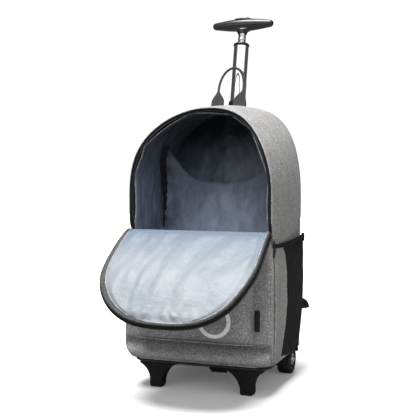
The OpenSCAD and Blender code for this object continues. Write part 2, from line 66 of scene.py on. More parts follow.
FABRIC_LOW = 61.0  # lower edge of the fabric body
FOLD_Z = 305.0  # height of the flap's fold line
FRONT_Y = -14.0  # lower front face
ARCH_Z = 378.0  # where the opening's sides turn into its arch
RIM_TOP = 545.0  # top of the rim
RIM_BEND_Z = 437.0  # where the rim starts to lean back
RIM_FORWARD = -4.0  # depth of its straight sides
RIM_SETBACK = 48.0  # depth of its top
REAR_Y = 208.0  # rear face at its base
REAR_SLOPE = tan(radians(5.1))
POLE_LEAN = radians(12)
POLE_AT = (226.0, 562.0)  # depth and height of the pole's axis at the bag's top


def rear_at(z):
    return REAR_Y + (z - FABRIC_LOW) * REAR_SLOPE


def along_pole(s):
    """Depth and height of the pole's axis, s above the place where it leaves the bag."""
    return POLE_AT[0] + s * sin(POLE_LEAN), POLE_AT[1] + s * cos(POLE_LEAN)


POLE_AXIS = (0, sin(POLE_LEAN), cos(POLE_LEAN))
SIDES = ((-1, "left"), (1, "right"))

# ---- small maths ----


def mix(a, b, t):
    return a + (b - a) * t


def ease(edge0, edge1, x):
    t = min(1.0, max(0.0, (x - edge0) / (edge1 - edge0)))
    return t * t * (3 - 2 * t)


def ripple(x, y, z, size, seed=0.0):
    """Smooth noise from -1 to 1 with lumps of that size in millimetres."""
    return noise.noise(Vector((x / size + seed, y / size - seed, z / size + 2 * seed)))


def crumple(x, y, z, size, seed=0.0):
    """Sharper folds: ridged noise in two sizes."""
    p = Vector((x / size + seed, y / size, z / size))
    a = 1 - abs(noise.noise(p)) * 2
    b = 1 - abs(noise.noise(p * 2.3 + Vector((5, 3, 1)))) * 2
    return 0.7 * a + 0.3 * b


# ---- mesh tools ----


def new_object(name, verts, faces, material, smooth=True):
    mesh = bpy.data.meshes.new(name)
    mesh.from_pydata([tuple(v) for v in verts], [], faces)
    mesh.validate()
    mesh.polygons.foreach_set("use_smooth", [smooth] * len(mesh.polygons))
    obj = bpy.data.objects.new(name, mesh)
    SCENE.collection.objects.link(obj)
    obj.data.materials.append(material)
    return obj


def bake(obj):
    """Applies every modifier of obj to its mesh."""
    bpy.context.view_layer.update()
    graph = bpy.context.evaluated_depsgraph_get()
    mesh = bpy.data.meshes.new_from_object(obj.evaluated_get(graph))
    obj.modifiers.clear()
    obj.data = mesh
    return obj


def modified(obj, kind, **settings):
    """Adds a modifier with its settings and applies it."""
    mod = obj.modifiers.new(kind.lower(), kind)
    for key, value in settings.items():
        setattr(mod, key, value)
    return bake(obj)


def thicken(obj, mm, offset):
    return modified(obj, "SOLIDIFY", thickness=mm / 1000, offset=offset, use_quality_normals=True)


def subdivide(obj):
    return modified(obj, "SUBSURF", levels=1, render_levels=1)


def bevel(obj, mm, segments=2, angle=40):
    return modified(obj, "BEVEL", width=mm / 1000, segments=segments, angle_limit=radians(angle))


def edited(obj, change):
    """Runs a change on obj's mesh as a bmesh."""
    bm = bmesh.new()
    bm.from_mesh(obj.data)
    change(bm)
    bm.to_mesh(obj.data)
    bm.free()
    return obj


def face_out(obj):
    """Makes the normals of a closed mesh point outwards."""
    return edited(obj, lambda bm: bmesh.ops.recalc_face_normals(bm, faces=bm.faces))


def grid_faces(high, wide, first=0, round_rows=False, round_columns=False):
    """Quads of a grid of points that are numbered row by row from first."""
    faces = []
    for i in range(high if round_columns else high - 1):
        a, b = first + i * wide, first + (i + 1) % high * wide
        for j in range(wide if round_rows else wide - 1):
            k = (j + 1) % wide
            faces.append((a + j, a + k, b + k, b + j))
    return faces


def sheet_from(name, rows, material, thick=0.0, close=False, offset=0.0):
    """A quad sheet through rows of points of the drawing, thickened if asked."""
    verts = [at(*p) for row in rows for p in row]
    obj = new_object(name, verts, grid_faces(len(rows), len(rows[0]), round_rows=close), material)
    return thicken(obj, thick, offset) if thick else obj


def closed_form(name, front, back, material):
    """A front and a back sheet of the same grid, joined round their rims."""
    high, wide = len(front), len(front[0])
    size = high * wide
    verts = [at(*p) for rows in (front, back) for row in rows for p in row]
    faces = grid_faces(high, wide) + grid_faces(high, wide, size)
    edge = list(range(wide)) + [i * wide + wide - 1 for i in range(1, high - 1)]
    edge += list(range(size - 1, size - 1 - wide, -1)) + [i * wide for i in range(high - 2, 0, -1)]
    faces += [(a, b, size + b, size + a) for a, b in zip(edge, edge[1:] + edge[:1])]

    def change(bm):
        bmesh.ops.remove_doubles(bm, verts=bm.verts, dist=1e-5)
        bmesh.ops.recalc_face_normals(bm, faces=bm.faces)

    return edited(new_object(name, verts, faces, material), change)


def sweep(name, path, up, section, material):
    """Carries a closed section of (side, up) offsets in millimetres along a path of the drawing.
    up is one direction or a list with one for each point; side is the path's direction crossed with it."""
    points = [at(*p) for p in path]
    last = len(points) - 1
    verts = []
    for i, p in enumerate(points):
        along = (points[min(i + 1, last)] - points[max(i - 1, 0)]).normalized()
        side = along.cross(Vector(up[i] if isinstance(up, list) else up).normalized()).normalized()
        lift = side.cross(along).normalized()
        ring = section(i / last) if callable(section) else section
        verts += [p + side * (a / 1000) + lift * (b / 1000) for a, b in ring]
    n = len(ring)
    faces = grid_faces(last + 1, n, round_rows=True)
    faces += [tuple(range(n))[::-1], tuple(range(last * n, last * n + n))]
    return face_out(new_object(name, verts, faces, material))


def oval(width, height, sides=10, power=2.0):
    """Closed oval section; a power above 2 makes it boxier."""
    ring = []
    for k in range(sides):
        a = 2 * pi * (k + 0.5) / sides
        c, s = cos(a), sin(a)
        ring.append((
            width / 2 * copysign(abs(c) ** (2 / power), c),
            height / 2 * copysign(abs(s) ** (2 / power), s),
        ))
    return ring


def lathe(name, profile, centre, axis, material, sides=48):
    """Turns a closed profile of (radius, distance) pairs round an axis through centre, in the drawing."""
    turn = Vector((0, 0, 1)).rotation_difference(Vector(axis)).to_matrix()
    origin = at(*centre)
    verts = []
    for k in range(sides):
        c, s = cos(2 * pi * k / sides), sin(2 * pi * k / sides)
        verts += [origin + turn @ (Vector((r * c, r * s, d)) / 1000) for r, d in profile]
    faces = grid_faces(sides, len(profile), round_rows=True, round_columns=True)
    return face_out(new_object(name, verts, faces, material))


def sharpen(obj, degrees=35):
    """Smooth shading, with the edges that are sharper than an angle left hard."""
    def change(bm):
        for edge in bm.edges:
            edge.smooth = len(edge.link_faces) != 2 or edge.calc_face_angle(0) <= radians(degrees)
        for face in bm.faces:
            face.smooth = True

    return edited(obj, change)


def belongs(obj, body, slot, *nodes):
    """Rides on a body and stands for some CAD nodes; slot is not used."""
    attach(obj, body)
    if nodes:
        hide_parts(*nodes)
    return obj


# ---- materials ----


class Nodes:
    """A node tree that is built call by call; an input is a number, a colour or another node's output."""

    def __init__(self, owner):
        owner.use_nodes = True
        self.tree = owner.node_tree

    def feed(self, socket, value):
        if isinstance(value, bpy.types.NodeSocket):
            self.tree.links.new(value, socket)
        elif socket.type == "RGBA":
            socket.default_value = (*value, 1.0)
        else:
            socket.default_value = value

    def node(self, kind, output, inputs=(), **settings):
        """Adds a node, feeds its inputs and gives one of its outputs."""
        made = self.tree.nodes.new(kind)
        for key, value in settings.items():
            setattr(made, key, value)
        for key, value in dict(inputs).items():
            self.feed(made.inputs[key], value)
        return made.outputs[output]

    def maths(self, operation, *values):
        return self.node("ShaderNodeMath", "Value", enumerate(values), operation=operation)


class Paint(Nodes):
    """A material on a Principled shader."""

    def __init__(self, name, roughness, metallic=0.0, specular=0.5, sheen=0.0):
        self.material = bpy.data.materials.new(name)
        super().__init__(self.material)
        self.shader = self.tree.nodes["Principled BSDF"].inputs
        self.feed(self.shader["Roughness"], roughness)
        self.feed(self.shader["Metallic"], metallic)
        self.feed(self.shader["Specular IOR Level"], specular)
        self.feed(self.shader["Sheen Weight"], sheen)
        self.place = self.node("ShaderNodeTexCoord", "Object")

    def height(self):
        return self.node("ShaderNodeSeparateXYZ", "Z", {"Vector": self.place})

    def stretched(self, *scale):
        return self.node("ShaderNodeMapping", "Vector", {"Vector": self.place, "Scale": scale})

    def noise(self, scale, detail=3.0, rough=0.6, vector=None):
        inputs = {"Vector": vector or self.place, "Scale": scale, "Detail": detail, "Roughness": rough}
        return self.node("ShaderNodeTexNoise", "Fac", inputs)

    def bands(self, scale, direction):
        inputs = {"Vector": self.place, "Scale": scale, "Detail": 1.0}
        return self.node("ShaderNodeTexWave", "Fac", inputs, bands_direction=direction)

    def cells(self, scale, feature="F1", vector=None, randomness=1.0):
        inputs = {"Vector": vector or self.place, "Scale": scale, "Randomness": randomness}
        return self.node("ShaderNodeTexVoronoi", "Distance", inputs, feature=feature)

    def ramp(self, value, *stops):
        """Colours along a value; each stop is (where, a grey or a colour)."""
        made = self.tree.nodes.new("ShaderNodeValToRGB")
        elements = made.color_ramp.elements
        while len(elements) < len(stops):
            elements.new(0.5)
        for element, (where, colour) in zip(elements, stops):
            element.position = where
            element.color = (*(grey(colour) if isinstance(colour, float) else colour), 1.0)
        self.feed(made.inputs["Fac"], value)
        return made.outputs["Color"]

    def blended(self, amount, a, b, mode="MIX"):
        inputs = {"Factor": amount, "A": a, "B": b}
        return self.node("ShaderNodeMix", "Result", inputs, data_type="RGBA", blend_type=mode)

    def colour(self, source):
        self.feed(self.shader["Base Color"], source)

    def rough(self, source, low, high):
        inputs = {"Value": source, "To Min": low, "To Max": high}
        self.feed(self.shader["Roughness"], self.node("ShaderNodeMapRange", "Result", inputs))

    def bump(self, *layers):
        """Each layer is (height, distance in millimetres, strength)."""
        inputs = {}
        for height, millimetres, strength in layers:
            inputs |= {"Height": height, "Distance": millimetres / 1000, "Strength": strength}
            inputs["Normal"] = self.node("ShaderNodeBump", "Normal", inputs)
        self.feed(self.shader["Normal"], inputs["Normal"])


def grey(value, warm=0.0):
    return (value * (1 + warm), value, value * (1 - warm))


def speckled(paint, grain, dark, light, bump, spread=()):
    """Gives a paint one noise of (scale, detail, roughness) for its tone, its bumps and its roughness."""
    speck = paint.noise(*grain)
    paint.colour(paint.ramp(speck, dark, light))
    if spread:
        paint.rough(speck, *spread)
    paint.bump((speck, *bump))
    return paint.material


def heather_fabric(name="heather_fabric", light=0.42, dark=0.17, hollow=()):
    """Melange weave of light and dark yarns mixed at random; hollow is a ramp of painted shade that darkens
    it by height.
    """
    paint = Paint(name, roughness=0.95, specular=0.1, sheen=0.05)
    warp = paint.noise(1, 3, 0.7, paint.stretched(700, 700, 200))
    weft = paint.noise(1, 3, 0.7, paint.stretched(200, 200, 700))
    yarn = paint.maths("MULTIPLY", paint.maths("ADD", warp, weft), 0.5)
    middle = (light + dark) / 2
    base = paint.ramp(yarn, (0.38, grey(dark, 0.02)), (0.50, grey(middle, 0.015)), (0.62, grey(light, 0.01)))
    fleck = paint.noise(300, 5, 0.8)
    flecks = paint.ramp(fleck, (0.40, 0.22), (0.50, 0.5), (0.60, 0.82))
    tone = paint.blended(0.55, base, flecks, "OVERLAY")
    shade = paint.ramp(paint.noise(24, 3, 0.5), (0.3, 0.43), (0.7, 0.57))
    tone = paint.blended(0.5, tone, shade, "OVERLAY")
    if hollow:
        # Painted shade: the hollow ramp darkens the cloth by height.
        tone = paint.blended(1.0, tone, paint.ramp(paint.height(), *hollow), "MULTIPLY")
    paint.colour(tone)
    weave = paint.maths("ADD", paint.bands(240, "X"), paint.bands(240, "Y"))
    weave = paint.maths("ADD", weave, paint.bands(240, "Z"))
    paint.bump((weave, 0.25, 0.35), (fleck, 0.5, 0.6), (paint.noise(60, 3), 1.5, 0.3))
    return paint.material


def dark_lining():
    """Thin slate-blue polyester with fine creases, with painted shade that darkens it towards the top of the
    bag.
    """
    paint = Paint("dark_lining", roughness=0.5, specular=0.4, sheen=0.1)
    crease = paint.noise(38, 5, 0.62, paint.stretched(1, 1, 0.5))
    tone = paint.ramp(crease, (0.35, (0.075, 0.095, 0.14)), (0.65, (0.16, 0.19, 0.27)))
    # Painted shade inside the top of the bag: darkens the colour from 0.36 m up, to an eighth at 0.5 m.
    top = paint.ramp(paint.height(), (0.36, 1.0), (0.50, 0.12))
    paint.colour(paint.blended(1.0, tone, top, "MULTIPLY"))
    paint.rough(paint.noise(30, 2), 0.38, 0.58)
    folds = paint.cells(24, "SMOOTH_F1", paint.stretched(1.3, 1, 0.4))
    paint.bump((folds, 7.0, 0.6), (crease, 3.0, 0.5))
    return paint.material


def pale_lining():
    """Pale blue lining with painted shade, darker and bluer, near the fold, and a faint tone-on-tone line
    print.
    """
    paint = Paint("pale_lining", roughness=0.5, specular=0.35, sheen=0.1)
    swirl = {"Vector": paint.place, "Scale": 34, "Distortion": 14.0, "Detail": 2.0, "Detail Scale": 1.4}
    rings = paint.node("ShaderNodeTexWave", "Fac", swirl, wave_type="RINGS")
    lines = paint.ramp(rings, (0.42, 0.0), (0.5, 1.0), (0.58, 0.0))
    cloud = paint.noise(14, 4, 0.6)
    tone = paint.ramp(cloud, (0.3, (0.190, 0.214, 0.239)), (0.7, (0.235, 0.256, 0.278)))
    # Painted shade near the fold: darker and bluer from 0.262 m up.
    fold_shade = paint.ramp(paint.height(), (0.262, 0.0), (0.312, 1.0))
    tone = paint.blended(fold_shade, tone, (0.108, 0.147, 0.200))
    paint.colour(paint.blended(paint.maths("MULTIPLY", lines, 0.42), tone, (0.36, 0.38, 0.40)))
    crinkle = paint.noise(1, 5, 0.6, paint.stretched(38, 60, 60))
    paint.bump((crinkle, 4.0, 0.55), (paint.noise(1500, 1), 0.1, 0.3))
    return paint.material


def net_fabric():
    """Black sport mesh with small round holes over dark cloth."""
    paint = Paint("net_fabric", roughness=0.85, specular=0.12)
    hole = paint.cells(520, randomness=0.15)
    paint.colour(paint.ramp(hole, (0.25, 0.003), (0.42, (0.020, 0.020, 0.021))))
    paint.bump((hole, 0.5, 0.8), (paint.noise(35, 3), 2.5, 0.3))
    return paint.material


def ribbed_webbing(name="ribbed_webbing", tone=0.02, pitch=230):
    """Woven strap with fine ribs."""
    paint = Paint(name, roughness=0.85, specular=0.15)
    rib = paint.maths("ADD", paint.bands(pitch, "Z"), paint.bands(pitch, "X"))
    fine = paint.noise(900, 2)
    paint.colour(paint.ramp(fine, (0.35, tone * 0.6), (0.65, tone * 1.5)))
    paint.bump((rib, 0.4, 0.6), (fine, 0.2, 0.5))
    return paint.material


def zip_cloth():
    paint = Paint("zip_cloth", roughness=0.85, specular=0.1)
    return speckled(paint, (1100, 2), (0.3, 0.006), (0.7, 0.016), (0.2, 0.5))


def zip_coil():
    paint = Paint("zip_coil", roughness=0.4, specular=0.25)
    return speckled(paint, (600, 2), (0.3, 0.012), (0.7, 0.022), (0.1, 0.2))


def moulded_plastic(name="moulded_plastic", tone=0.011, low=0.42, high=0.6, grain=0.25, shine=0.15):
    """Moulded plastic, roughness low to high, with a fine spark texture and slight scuffs."""
    paint = Paint(name, roughness=high, specular=shine)
    wear = paint.noise(60, 5, 0.7)
    paint.colour(paint.ramp(wear, (0.3, tone * 0.8), (0.75, tone * 1.5)))
    paint.rough(wear, low, high)
    paint.bump((paint.noise(1600, 2, 0.5), 0.12, grain))
    return paint.material


def polished_tube(name="polished_tube", tone=0.83):
    paint = Paint(name, roughness=0.12, metallic=1.0)
    brush = (1, 2, 0.5, paint.stretched(500, 500, 14))
    return speckled(paint, brush, (0.3, tone * 0.94), (0.7, tone * 1.06), (0.02, 0.1), (0.08, 0.16))


def plated_steel():
    paint = Paint("plated_steel", roughness=0.3, metallic=1.0)
    return speckled(paint, (220, 4, 0.7), (0.3, 0.4675), (0.7, 0.6325), (0.05, 0.2), (0.22, 0.4))


def soft_rubber(name="soft_rubber", tone=0.016):
    paint = Paint(name, roughness=0.85, specular=0.15)
    return speckled(paint, (240, 5, 0.7), (0.3, tone * 0.8), (0.75, tone * 2.0), (0.15, 0.4), (0.7, 0.9))


def printed_ring():
    paint = Paint("printed_ring", roughness=0.5, specular=0.4)
    return speckled(paint, (800, 3), (0.3, 0.88), (0.7, 0.96), (0.1, 0.3))


def edge_highlight():
    """Folded edge of the lining, painted pale as a highlight where light catches it."""
    paint = Paint("edge_highlight", roughness=0.5, specular=0.4, sheen=0.1)
    return speckled(paint, (130, 4, 0.7), (0.35, (0.10, 0.12, 0.16)), (0.7, (0.45, 0.48, 0.52)), (0.5, 0.5))


def spacer_mesh():
    """Dark air mesh of the padded back, with a honeycomb of small pits."""
    paint = Paint("spacer_mesh", roughness=0.9, specular=0.2, sheen=0.2)
    pit = paint.cells(330, randomness=0.25)
    paint.colour(paint.ramp(pit, (0.2, 0.012), (0.55, 0.055)))
    paint.bump((pit, 0.9, 0.8), (paint.noise(40, 3), 1.5, 0.2))
    return paint.material


HEATHER = heather_fabric()
# The lower front's cloth, with a band of painted shade in the hollow under the pocket, 79 to 104 mm up.
HEATHER_FRONT_SHADED = heather_fabric(
    "heather_front_painted_shade", hollow=((0.079, 1.0), (0.088, 0.55), (0.099, 0.45), (0.104, 1.0)),
)
HEATHER_DARK = heather_fabric("heather_back", light=0.26, dark=0.09)
HEATHER_RIM = heather_fabric("heather_rim", light=0.10, dark=0.04)
HEATHER_PALE = heather_fabric("heather_edging", light=0.6, dark=0.28)
LINING = dark_lining()
PALE = pale_lining()
NET = net_fabric()
WEBBING = ribbed_webbing()
ELASTIC = ribbed_webbing("ribbed_elastic", 0.012, 420)
TAPE = zip_cloth()
COIL = zip_coil()
MOULDED = moulded_plastic()
GLOSS = moulded_plastic("gloss_plastic", 0.008, 0.26, 0.36, 0.08, 0.6)
HUB = moulded_plastic("hub_plastic", 0.03, 0.35, 0.5)
SILVER = moulded_plastic("silver_plastic", 0.40, 0.35, 0.45, 0.05, 0.5)
CHROME = polished_tube()
DULL_CHROME = polished_tube("thin_tube", 0.45)
STEEL = plated_steel()
RUBBER = soft_rubber()
TYRE = soft_rubber("tyre_rubber", 0.02)
RING = printed_ring()
EDGE = edge_highlight()
SPACER = spacer_mesh()
GREY_WEB = ribbed_webbing("grey_webbing", 0.045, 260)
# Lighter plastic for edges: a painted highlight on the tray's lip and the wheels' rims.
MOULDED_HIGHLIT = moulded_plastic("plastic_edge_highlight", 0.05, 0.3, 0.45)

# The CAD nodes that are shown as they are, or copied with rounded edges.
CAD_LOOKS = {
    MOULDED: (
        "base_tray front_stand base_board wheel_housing_left wheel_housing_right rear_guard pole_socket "
        "pole_guide_collar stage1_glide stage2_glide"
    ),
    HUB: "wheel_hub_left wheel_hub_right",
    RUBBER: "foot_pads",
    STEEL: (
        "base_screws wheel_axles wheel_bearings_left wheel_bearings_right grip_screws lock_rod button_spring "
        "main_zip_slider"
    ),
    CHROME: "pole_fixed_tube stage1_tube",
    DULL_CHROME: "stage2_tube",
    GLOSS: "main_zip_puller ladder_locks",
}


def paint_cad_nodes():
    for material, names in CAD_LOOKS.items():
        for name in names.split():
            slots = NODES[name].data.materials
            slots.clear()
            slots.append(material)
            sharpen(NODES[name])


paint_cad_nodes()

# ---- the body's own surfaces ----

# Half width, height where the sides turn into the round, top and roundness.
FRONT_ARCH = (143.5, ARCH_Z, RIM_TOP, 2.15)
REAR_ARCH = (137.0, 325.0, 557.5, 2.8)
LINING_ARCH = (131.5, 380.0, 545.0, 2.2)
BULGE_LEFT, BULGE_RIGHT = -11.0, 5.0  # how far the lower front stands out at each corner
SIDE_SHARE = 0.285  # share of the arch's run that each straight side takes
LINING_GAP, SLEEVE_GAP = 24.0, 60.0  # from the pole's axis to the inner sheets
LINING_LOW = 66.0


def arch(u, shape, low):
    """(x, z) of an arch with straight sides, and its outward (x, z), from the left foot to the right one."""
    half, mid, top, power = shape
    if u <= SIDE_SHARE:
        return -half, mix(low, mid, u / SIDE_SHARE), -1.0, 0.0
    if u >= 1 - SIDE_SHARE:
        return half, mix(low, mid, (1 - u) / SIDE_SHARE), 1.0, 0.0
    a = pi * (1 - (u - SIDE_SHARE) / (1 - 2 * SIDE_SHARE))
    c, s = cos(a), max(sin(a), 0.0)
    x = half * copysign(abs(c) ** (2 / power), c)
    z = mid + (top - mid) * s ** (2 / power)
    nx = copysign(abs(c) ** (2 - 2 / power), c) / half
    nz = s ** (2 - 2 / power) / (top - mid)
    size = hypot(nx, nz)
    return x, z, nx / size, nz / size


def half_at(z, shape):
    """Half width of an arch at a height."""
    half, mid, top, power = shape
    if z <= mid:
        return half
    return half * max(0.0, 1 - ((z - mid) / (top - mid)) ** power) ** (1 / power)


def corner_bulge(z):
    """Share of the bulge of the full lower front, where it stands out past the sides."""
    return ease(FABRIC_LOW - 8, FABRIC_LOW + 24, z) * ease(FOLD_Z - 4, FOLD_Z - 80, z)


def front_depth(z):
    """Depth of the front seam: forward on the full lower front, curving back into the arch above."""
    if z <= RIM_BEND_Z:
        return mix(3.0 - 13.0 * corner_bulge(z), RIM_FORWARD, ease(FOLD_Z - 15, FOLD_Z + 25, z))
    return mix(RIM_FORWARD, RIM_SETBACK, ((z - RIM_BEND_Z) / (RIM_TOP - RIM_BEND_Z)) ** 2)


def lean_depth(z, gap):
    """Depth of a sheet that leans with the pole, a gap in front of the pole's axis."""
    return POLE_AT[0] - (POLE_AT[1] - z) * tan(POLE_LEAN) - gap / cos(POLE_LEAN)


def rim(u, low=FABRIC_LOW):
    """A point of the opening's rim and its outward (x, z)."""
    x, z, nx, nz = arch(u, FRONT_ARCH, low)
    x -= copysign(3.0, x) * (1 - ease(FOLD_Z - 30, FOLD_Z + 20, z))
    x += (BULGE_LEFT if x < 0 else BULGE_RIGHT) * corner_bulge(z)
    x -= 1.5 * ease(FOLD_Z, FOLD_Z + 30, z) * ease(RIM_TOP, RIM_TOP - 60, z)
    return Vector((x, front_depth(z), z)), nx, nz


def skin(u, v):
    """The side and top skin: u runs round the arch, v from the front seam to the rear one."""
    front, nx, nz = rim(u)
    rx, rz, _, _ = arch(u, REAR_ARCH, FABRIC_LOW)
    upper = ease(270, 380, front.z)
    puff = mix(0.5, 5.0, upper) * sin(pi * v) ** 0.8
    crease = (0.2 + upper) * (1.5 * ripple(v * 7, u * 3, 0, 1) + 0.6 * ripple(v * 19, u * 9, 3, 1))
    reach = puff + crease * sin(pi * v)
    return mix(front.x, rx, v) + nx * reach, mix(front.y, rear_at(rz), v), mix(front.z, rz, v) + nz * reach


def surface(name, point, across, along, material, thick=0.0):
    """A sheet through point(i, j) for shares i and j from 0 to 1."""
    rows = [[point(i / across, j / along) for j in range(along + 1)] for i in range(across + 1)]
    return sheet_from(name, rows, material, thick)


def shares(count, low=0.0, high=1.0):
    """Evenly spread values from low to high."""
    return [mix(low, high, i / (count - 1)) for i in range(count)]


def inflate(obj, reach, voxel=5.0, pressure=4.0):
    """Blows a closed shape up as cloth, no point moving further than reach millimetres."""
    modified(obj, "REMESH", mode="VOXEL", voxel_size=voxel / 1000)
    start = [v.co.copy() for v in obj.data.vertices]
    cloth = obj.modifiers.new("cloth", "CLOTH").settings
    cloth.use_pressure = True
    cloth.uniform_pressure_force = pressure
    cloth.effector_weights.gravity = 0
    cloth.quality = 6
    for number in range(1, 21):
        SCENE.frame_set(number)
    bake(obj)
    SCENE.frame_set(1)
    for vert, place in zip(obj.data.vertices, start):
        moved = vert.co - place
        if moved.length > reach / 1000:
            vert.co = place + moved.normalized() * (reach / 1000)
    return subdivide(smooth_faces(obj))


def smooth_faces(obj):
    obj.data.polygons.foreach_set("use_smooth", [True] * len(obj.data.polygons))
    return obj


# ---- outer body ----


def outer_skin():
    obj = surface("gusset_skin", skin, 150, 34, HEATHER, 2.4)
    belongs(obj, "bag", "fabric", "gusset_left", "gusset_right", "gusset_top")


def welt(name, path, radius, material):
    """Corded seam: a thin fabric tube along a seam line."""
    centre = sum((Vector(p) for p in path), Vector()) / len(path)
    ups = [Vector(p) - centre + Vector((0, 0.001, 0)) for p in path]
    belongs(sweep(name, path, ups, oval(2 * radius, 2 * radius, 8), material), "bag", "fabric")


FRONT_SEAM = 0.066  # share of the front panel's run outside each of its upright seams


def seam_welts():
    welt("rear_seam_welt", [skin(u, 1.0) for u in shares(140)], 2.0, HEATHER)
    for side, name in ((0, "left"), (1, "right")):
        front = [front_panel_point(abs(side - FRONT_SEAM), j) for j in shares(40, 0.02, 0.99)]
        welt(f"front_seam_welt_{name}", front, 1.3, HEATHER_RIM)


def bottom_edge():
    """Light edging along the lower edge of the fabric, from one rear corner round the front to the other."""
    half, corner = 139, 22.0
    right = []
    for x in shares(24, corner - half, half - corner):
        right.append((x, panel_front(FABRIC_LOW) + 1, FABRIC_LOW))
    for a in shares(8, radians(8), radians(82)):
        right.append((half - corner + corner * sin(a) + 2, 16 - corner * cos(a), FABRIC_LOW))
    for y in shares(20, 20, rear_at(FABRIC_LOW) - 4):
        right.append((142.5, y, FABRIC_LOW + 0.6))
    left = [(-x, y, z) for x, y, z in reversed(right[24:])]
    obj = sweep("bottom_edging", left + right, (0, 0, 1), oval(4.4, 5.0, 8), HEATHER_PALE)
    belongs(obj, "bag", "fabric", "bottom_piping")


# ---- front ----

# Depths of the front panel at some heights: the roll of cloth at its foot, the hollow over it and the face.
ROLL = (
    (61, -18), (65, -24), (70, -26), (75, -24), (80, -17), (85, -13),
    (98, -13), (110, -14), (298, -14), (304, -13),
)
PANEL_HALF, PANEL_CORNER = 139.5, 24.0


def panel_front(z):
    """Depth of the front panel at a height: its lower edge flares out below a hollow, which its cloth also
    paints with shade.
    """
    for (z0, y0), (z1, y1) in zip(ROLL, ROLL[1:]):
        if z <= z1:
            return mix(y0, y1, ease(z0, z1, z))
    return ROLL[-1][1]


def front_panel_point(i, j):
    """Runs round the front from seam to seam, with round corners."""
    z = mix(FABRIC_LOW + 0.5, FOLD_Z - 2, j)
    seam = front_depth(z)
    deep = seam - panel_front(z)
    corner = min(PANEL_CORNER, deep)
    left = corner - PANEL_HALF + BULGE_LEFT * corner_bulge(z)
    right = PANEL_HALF - corner + BULGE_RIGHT * corner_bulge(z)
    quarter = 0.12  # share of the run that each corner takes
    if i < quarter or i > 1 - quarter:
        a = pi / 2 * (i / quarter if i < quarter else (1 - i) / quarter)
        reach = corner * cos(a)
        x = left - reach if i < quarter else right + reach
        y = seam - deep * sin(a)
    else:
        x = mix(left, right, (i - quarter) / (1 - 2 * quarter))
        y = seam - deep
    soft = 1.4 * ripple(x, z, 5, 34) + 0.7 * ripple(x, z, 9, 13)
    fade = sin(pi * min(1.0, max(0.0, i))) ** 0.5
    return x, y - soft * fade, z


def front_panel():
    """The outer cloth of the lower front and the lining behind it."""
    # Its cloth paints shade into the hollow under the pocket.
    obj = surface("front_panel_skin", front_panel_point, 96, 70, HEATHER_FRONT_SHADED, 2.4)
    belongs(obj, "bag", "fabric", "front_lower_panel")

    def inner_point(i, j):
        y = -5 + 1.5 * ripple(i * 9, j * 7, 2, 1)
        return mix(-132, 132, i), y, mix(LINING_LOW, FOLD_Z - 1, j)

    inside = surface("front_panel_lining", inner_point, 40, 30, LINING, 1.0)
    belongs(inside, "bag", "lining")


POCKET_HALF, POCKET_LOW, POCKET_TOP = 119.0, 98.0, 282.0
POCKET_PUFF = 5.4  # how far the cloth's pressure carries its face out where the ring is printed


def pocket_front(x, z):
    """Depth of the pocket's face at a place: full towards its lower middle, with soft folds."""
    a = min(1.0, abs(x) / POCKET_HALF)
    b = (z - POCKET_LOW) / (POCKET_TOP - POCKET_LOW)
    edge = (1 - a ** 9) ** 0.5 if a < 1 else 0.0
    ends = max(0.0, 1 - abs(2 * b - 1) ** 9) ** 0.5
    full = 24.0 + 7.0 * ease(0.8, 0.05, b) * (1 - 0.6 * a * a)
    folds = 1.2 * ripple(x, z, 1, 44) + 0.6 * crumple(x, z, 2, 30)
    return -13.0 - edge * ends * (full + folds)


def pocket_run(reach, z, out, count=50):
    """Points across the pocket's face at a height, a little off it."""
    return [(x, pocket_front(x, z) - out, z) for x in shares(count, -reach, reach)]


def pocket():
    """The zipped front pocket, a stuffed form with piped edges, and its zip."""
    rows = []
    for t in shares(45):
        z = mix(POCKET_LOW, POCKET_TOP, (1 - cos(pi * t)) / 2)
        across = [POCKET_HALF * sin(pi * (i - 0.5)) for i in shares(61)]
        rows.append([Vector((x, pocket_front(x, z), z)) for x in across])
    back = [[Vector((p.x * 0.99, -12.0, p.z)) for p in row] for row in rows]
    obj = closed_form("front_pocket_skin", rows, back, HEATHER)
    inflate(obj, 5.0, voxel=4.0)
    belongs(obj, "bag", "fabric", "front_pocket")
    for name, z, lean in (("upper", POCKET_TOP - 3, 1), ("lower", POCKET_LOW + 4, -1)):
        path = pocket_run(POCKET_HALF - 4, z, 1.0)
        piping = sweep(f"pocket_{name}_welt", path, (0, -1, lean), oval(3, 3, 8), HEATHER)
        belongs(piping, "bag", "fabric")
    reach, z = 104, POCKET_TOP - 11  # of the zip
    tape = sweep("pocket_zip_tape", pocket_run(reach, z, 2.2), (0, -1, 0), oval(9, 1.2, 8, 4), TAPE)
    belongs(tape, "bag", "zip_tape", "pocket_zipper")
    belongs(coil("pocket_zip_coil", pocket_run(reach, z, 3.4, 240), (0, -1, 0)), "bag", "zip_tape")


def coil(name, path, up):
    """Nylon zip coil: a tube whose width beats once for each tooth."""
    def section(t):
        beat = 1.0 if round(t * (len(path) - 1)) % 2 else 0.72
        return oval(3.9 * beat, 2.4 * beat, 6)

    return sweep(name, path, up, section, COIL)


def ring_badge():
    """Plain printed ring on the pocket, following its surface."""
    inner, outer, mid_x, mid_z = 24.0, 32.0, 46.0, 146.0
    out = 0.6 + POCKET_PUFF

    def point(i, j):
        a = 2 * pi * i
        r = mix(inner, outer, j)
        x, z = mid_x + r * cos(a), mid_z + r * sin(a)
        return x, pocket_front(x, z) - out, z

    belongs(surface("ring_badge", point, 72, 4, RING, 0.5), "bag", "badge", "badge")


def side_tag():
    """Blank black tag sewn into the pocket's side seam."""
    def point(i, j):
        return mix(119.5, 129.5, i), -34 + 2.0 * i * i, mix(129, 168, j) + 0.6 * sin(3 * i)

    tag = surface("blank_side_tag", point, 6, 14, WEBBING, 1.4)
    belongs(bevel(tag, 0.4), "bag", "black_webbing", "side_tag")


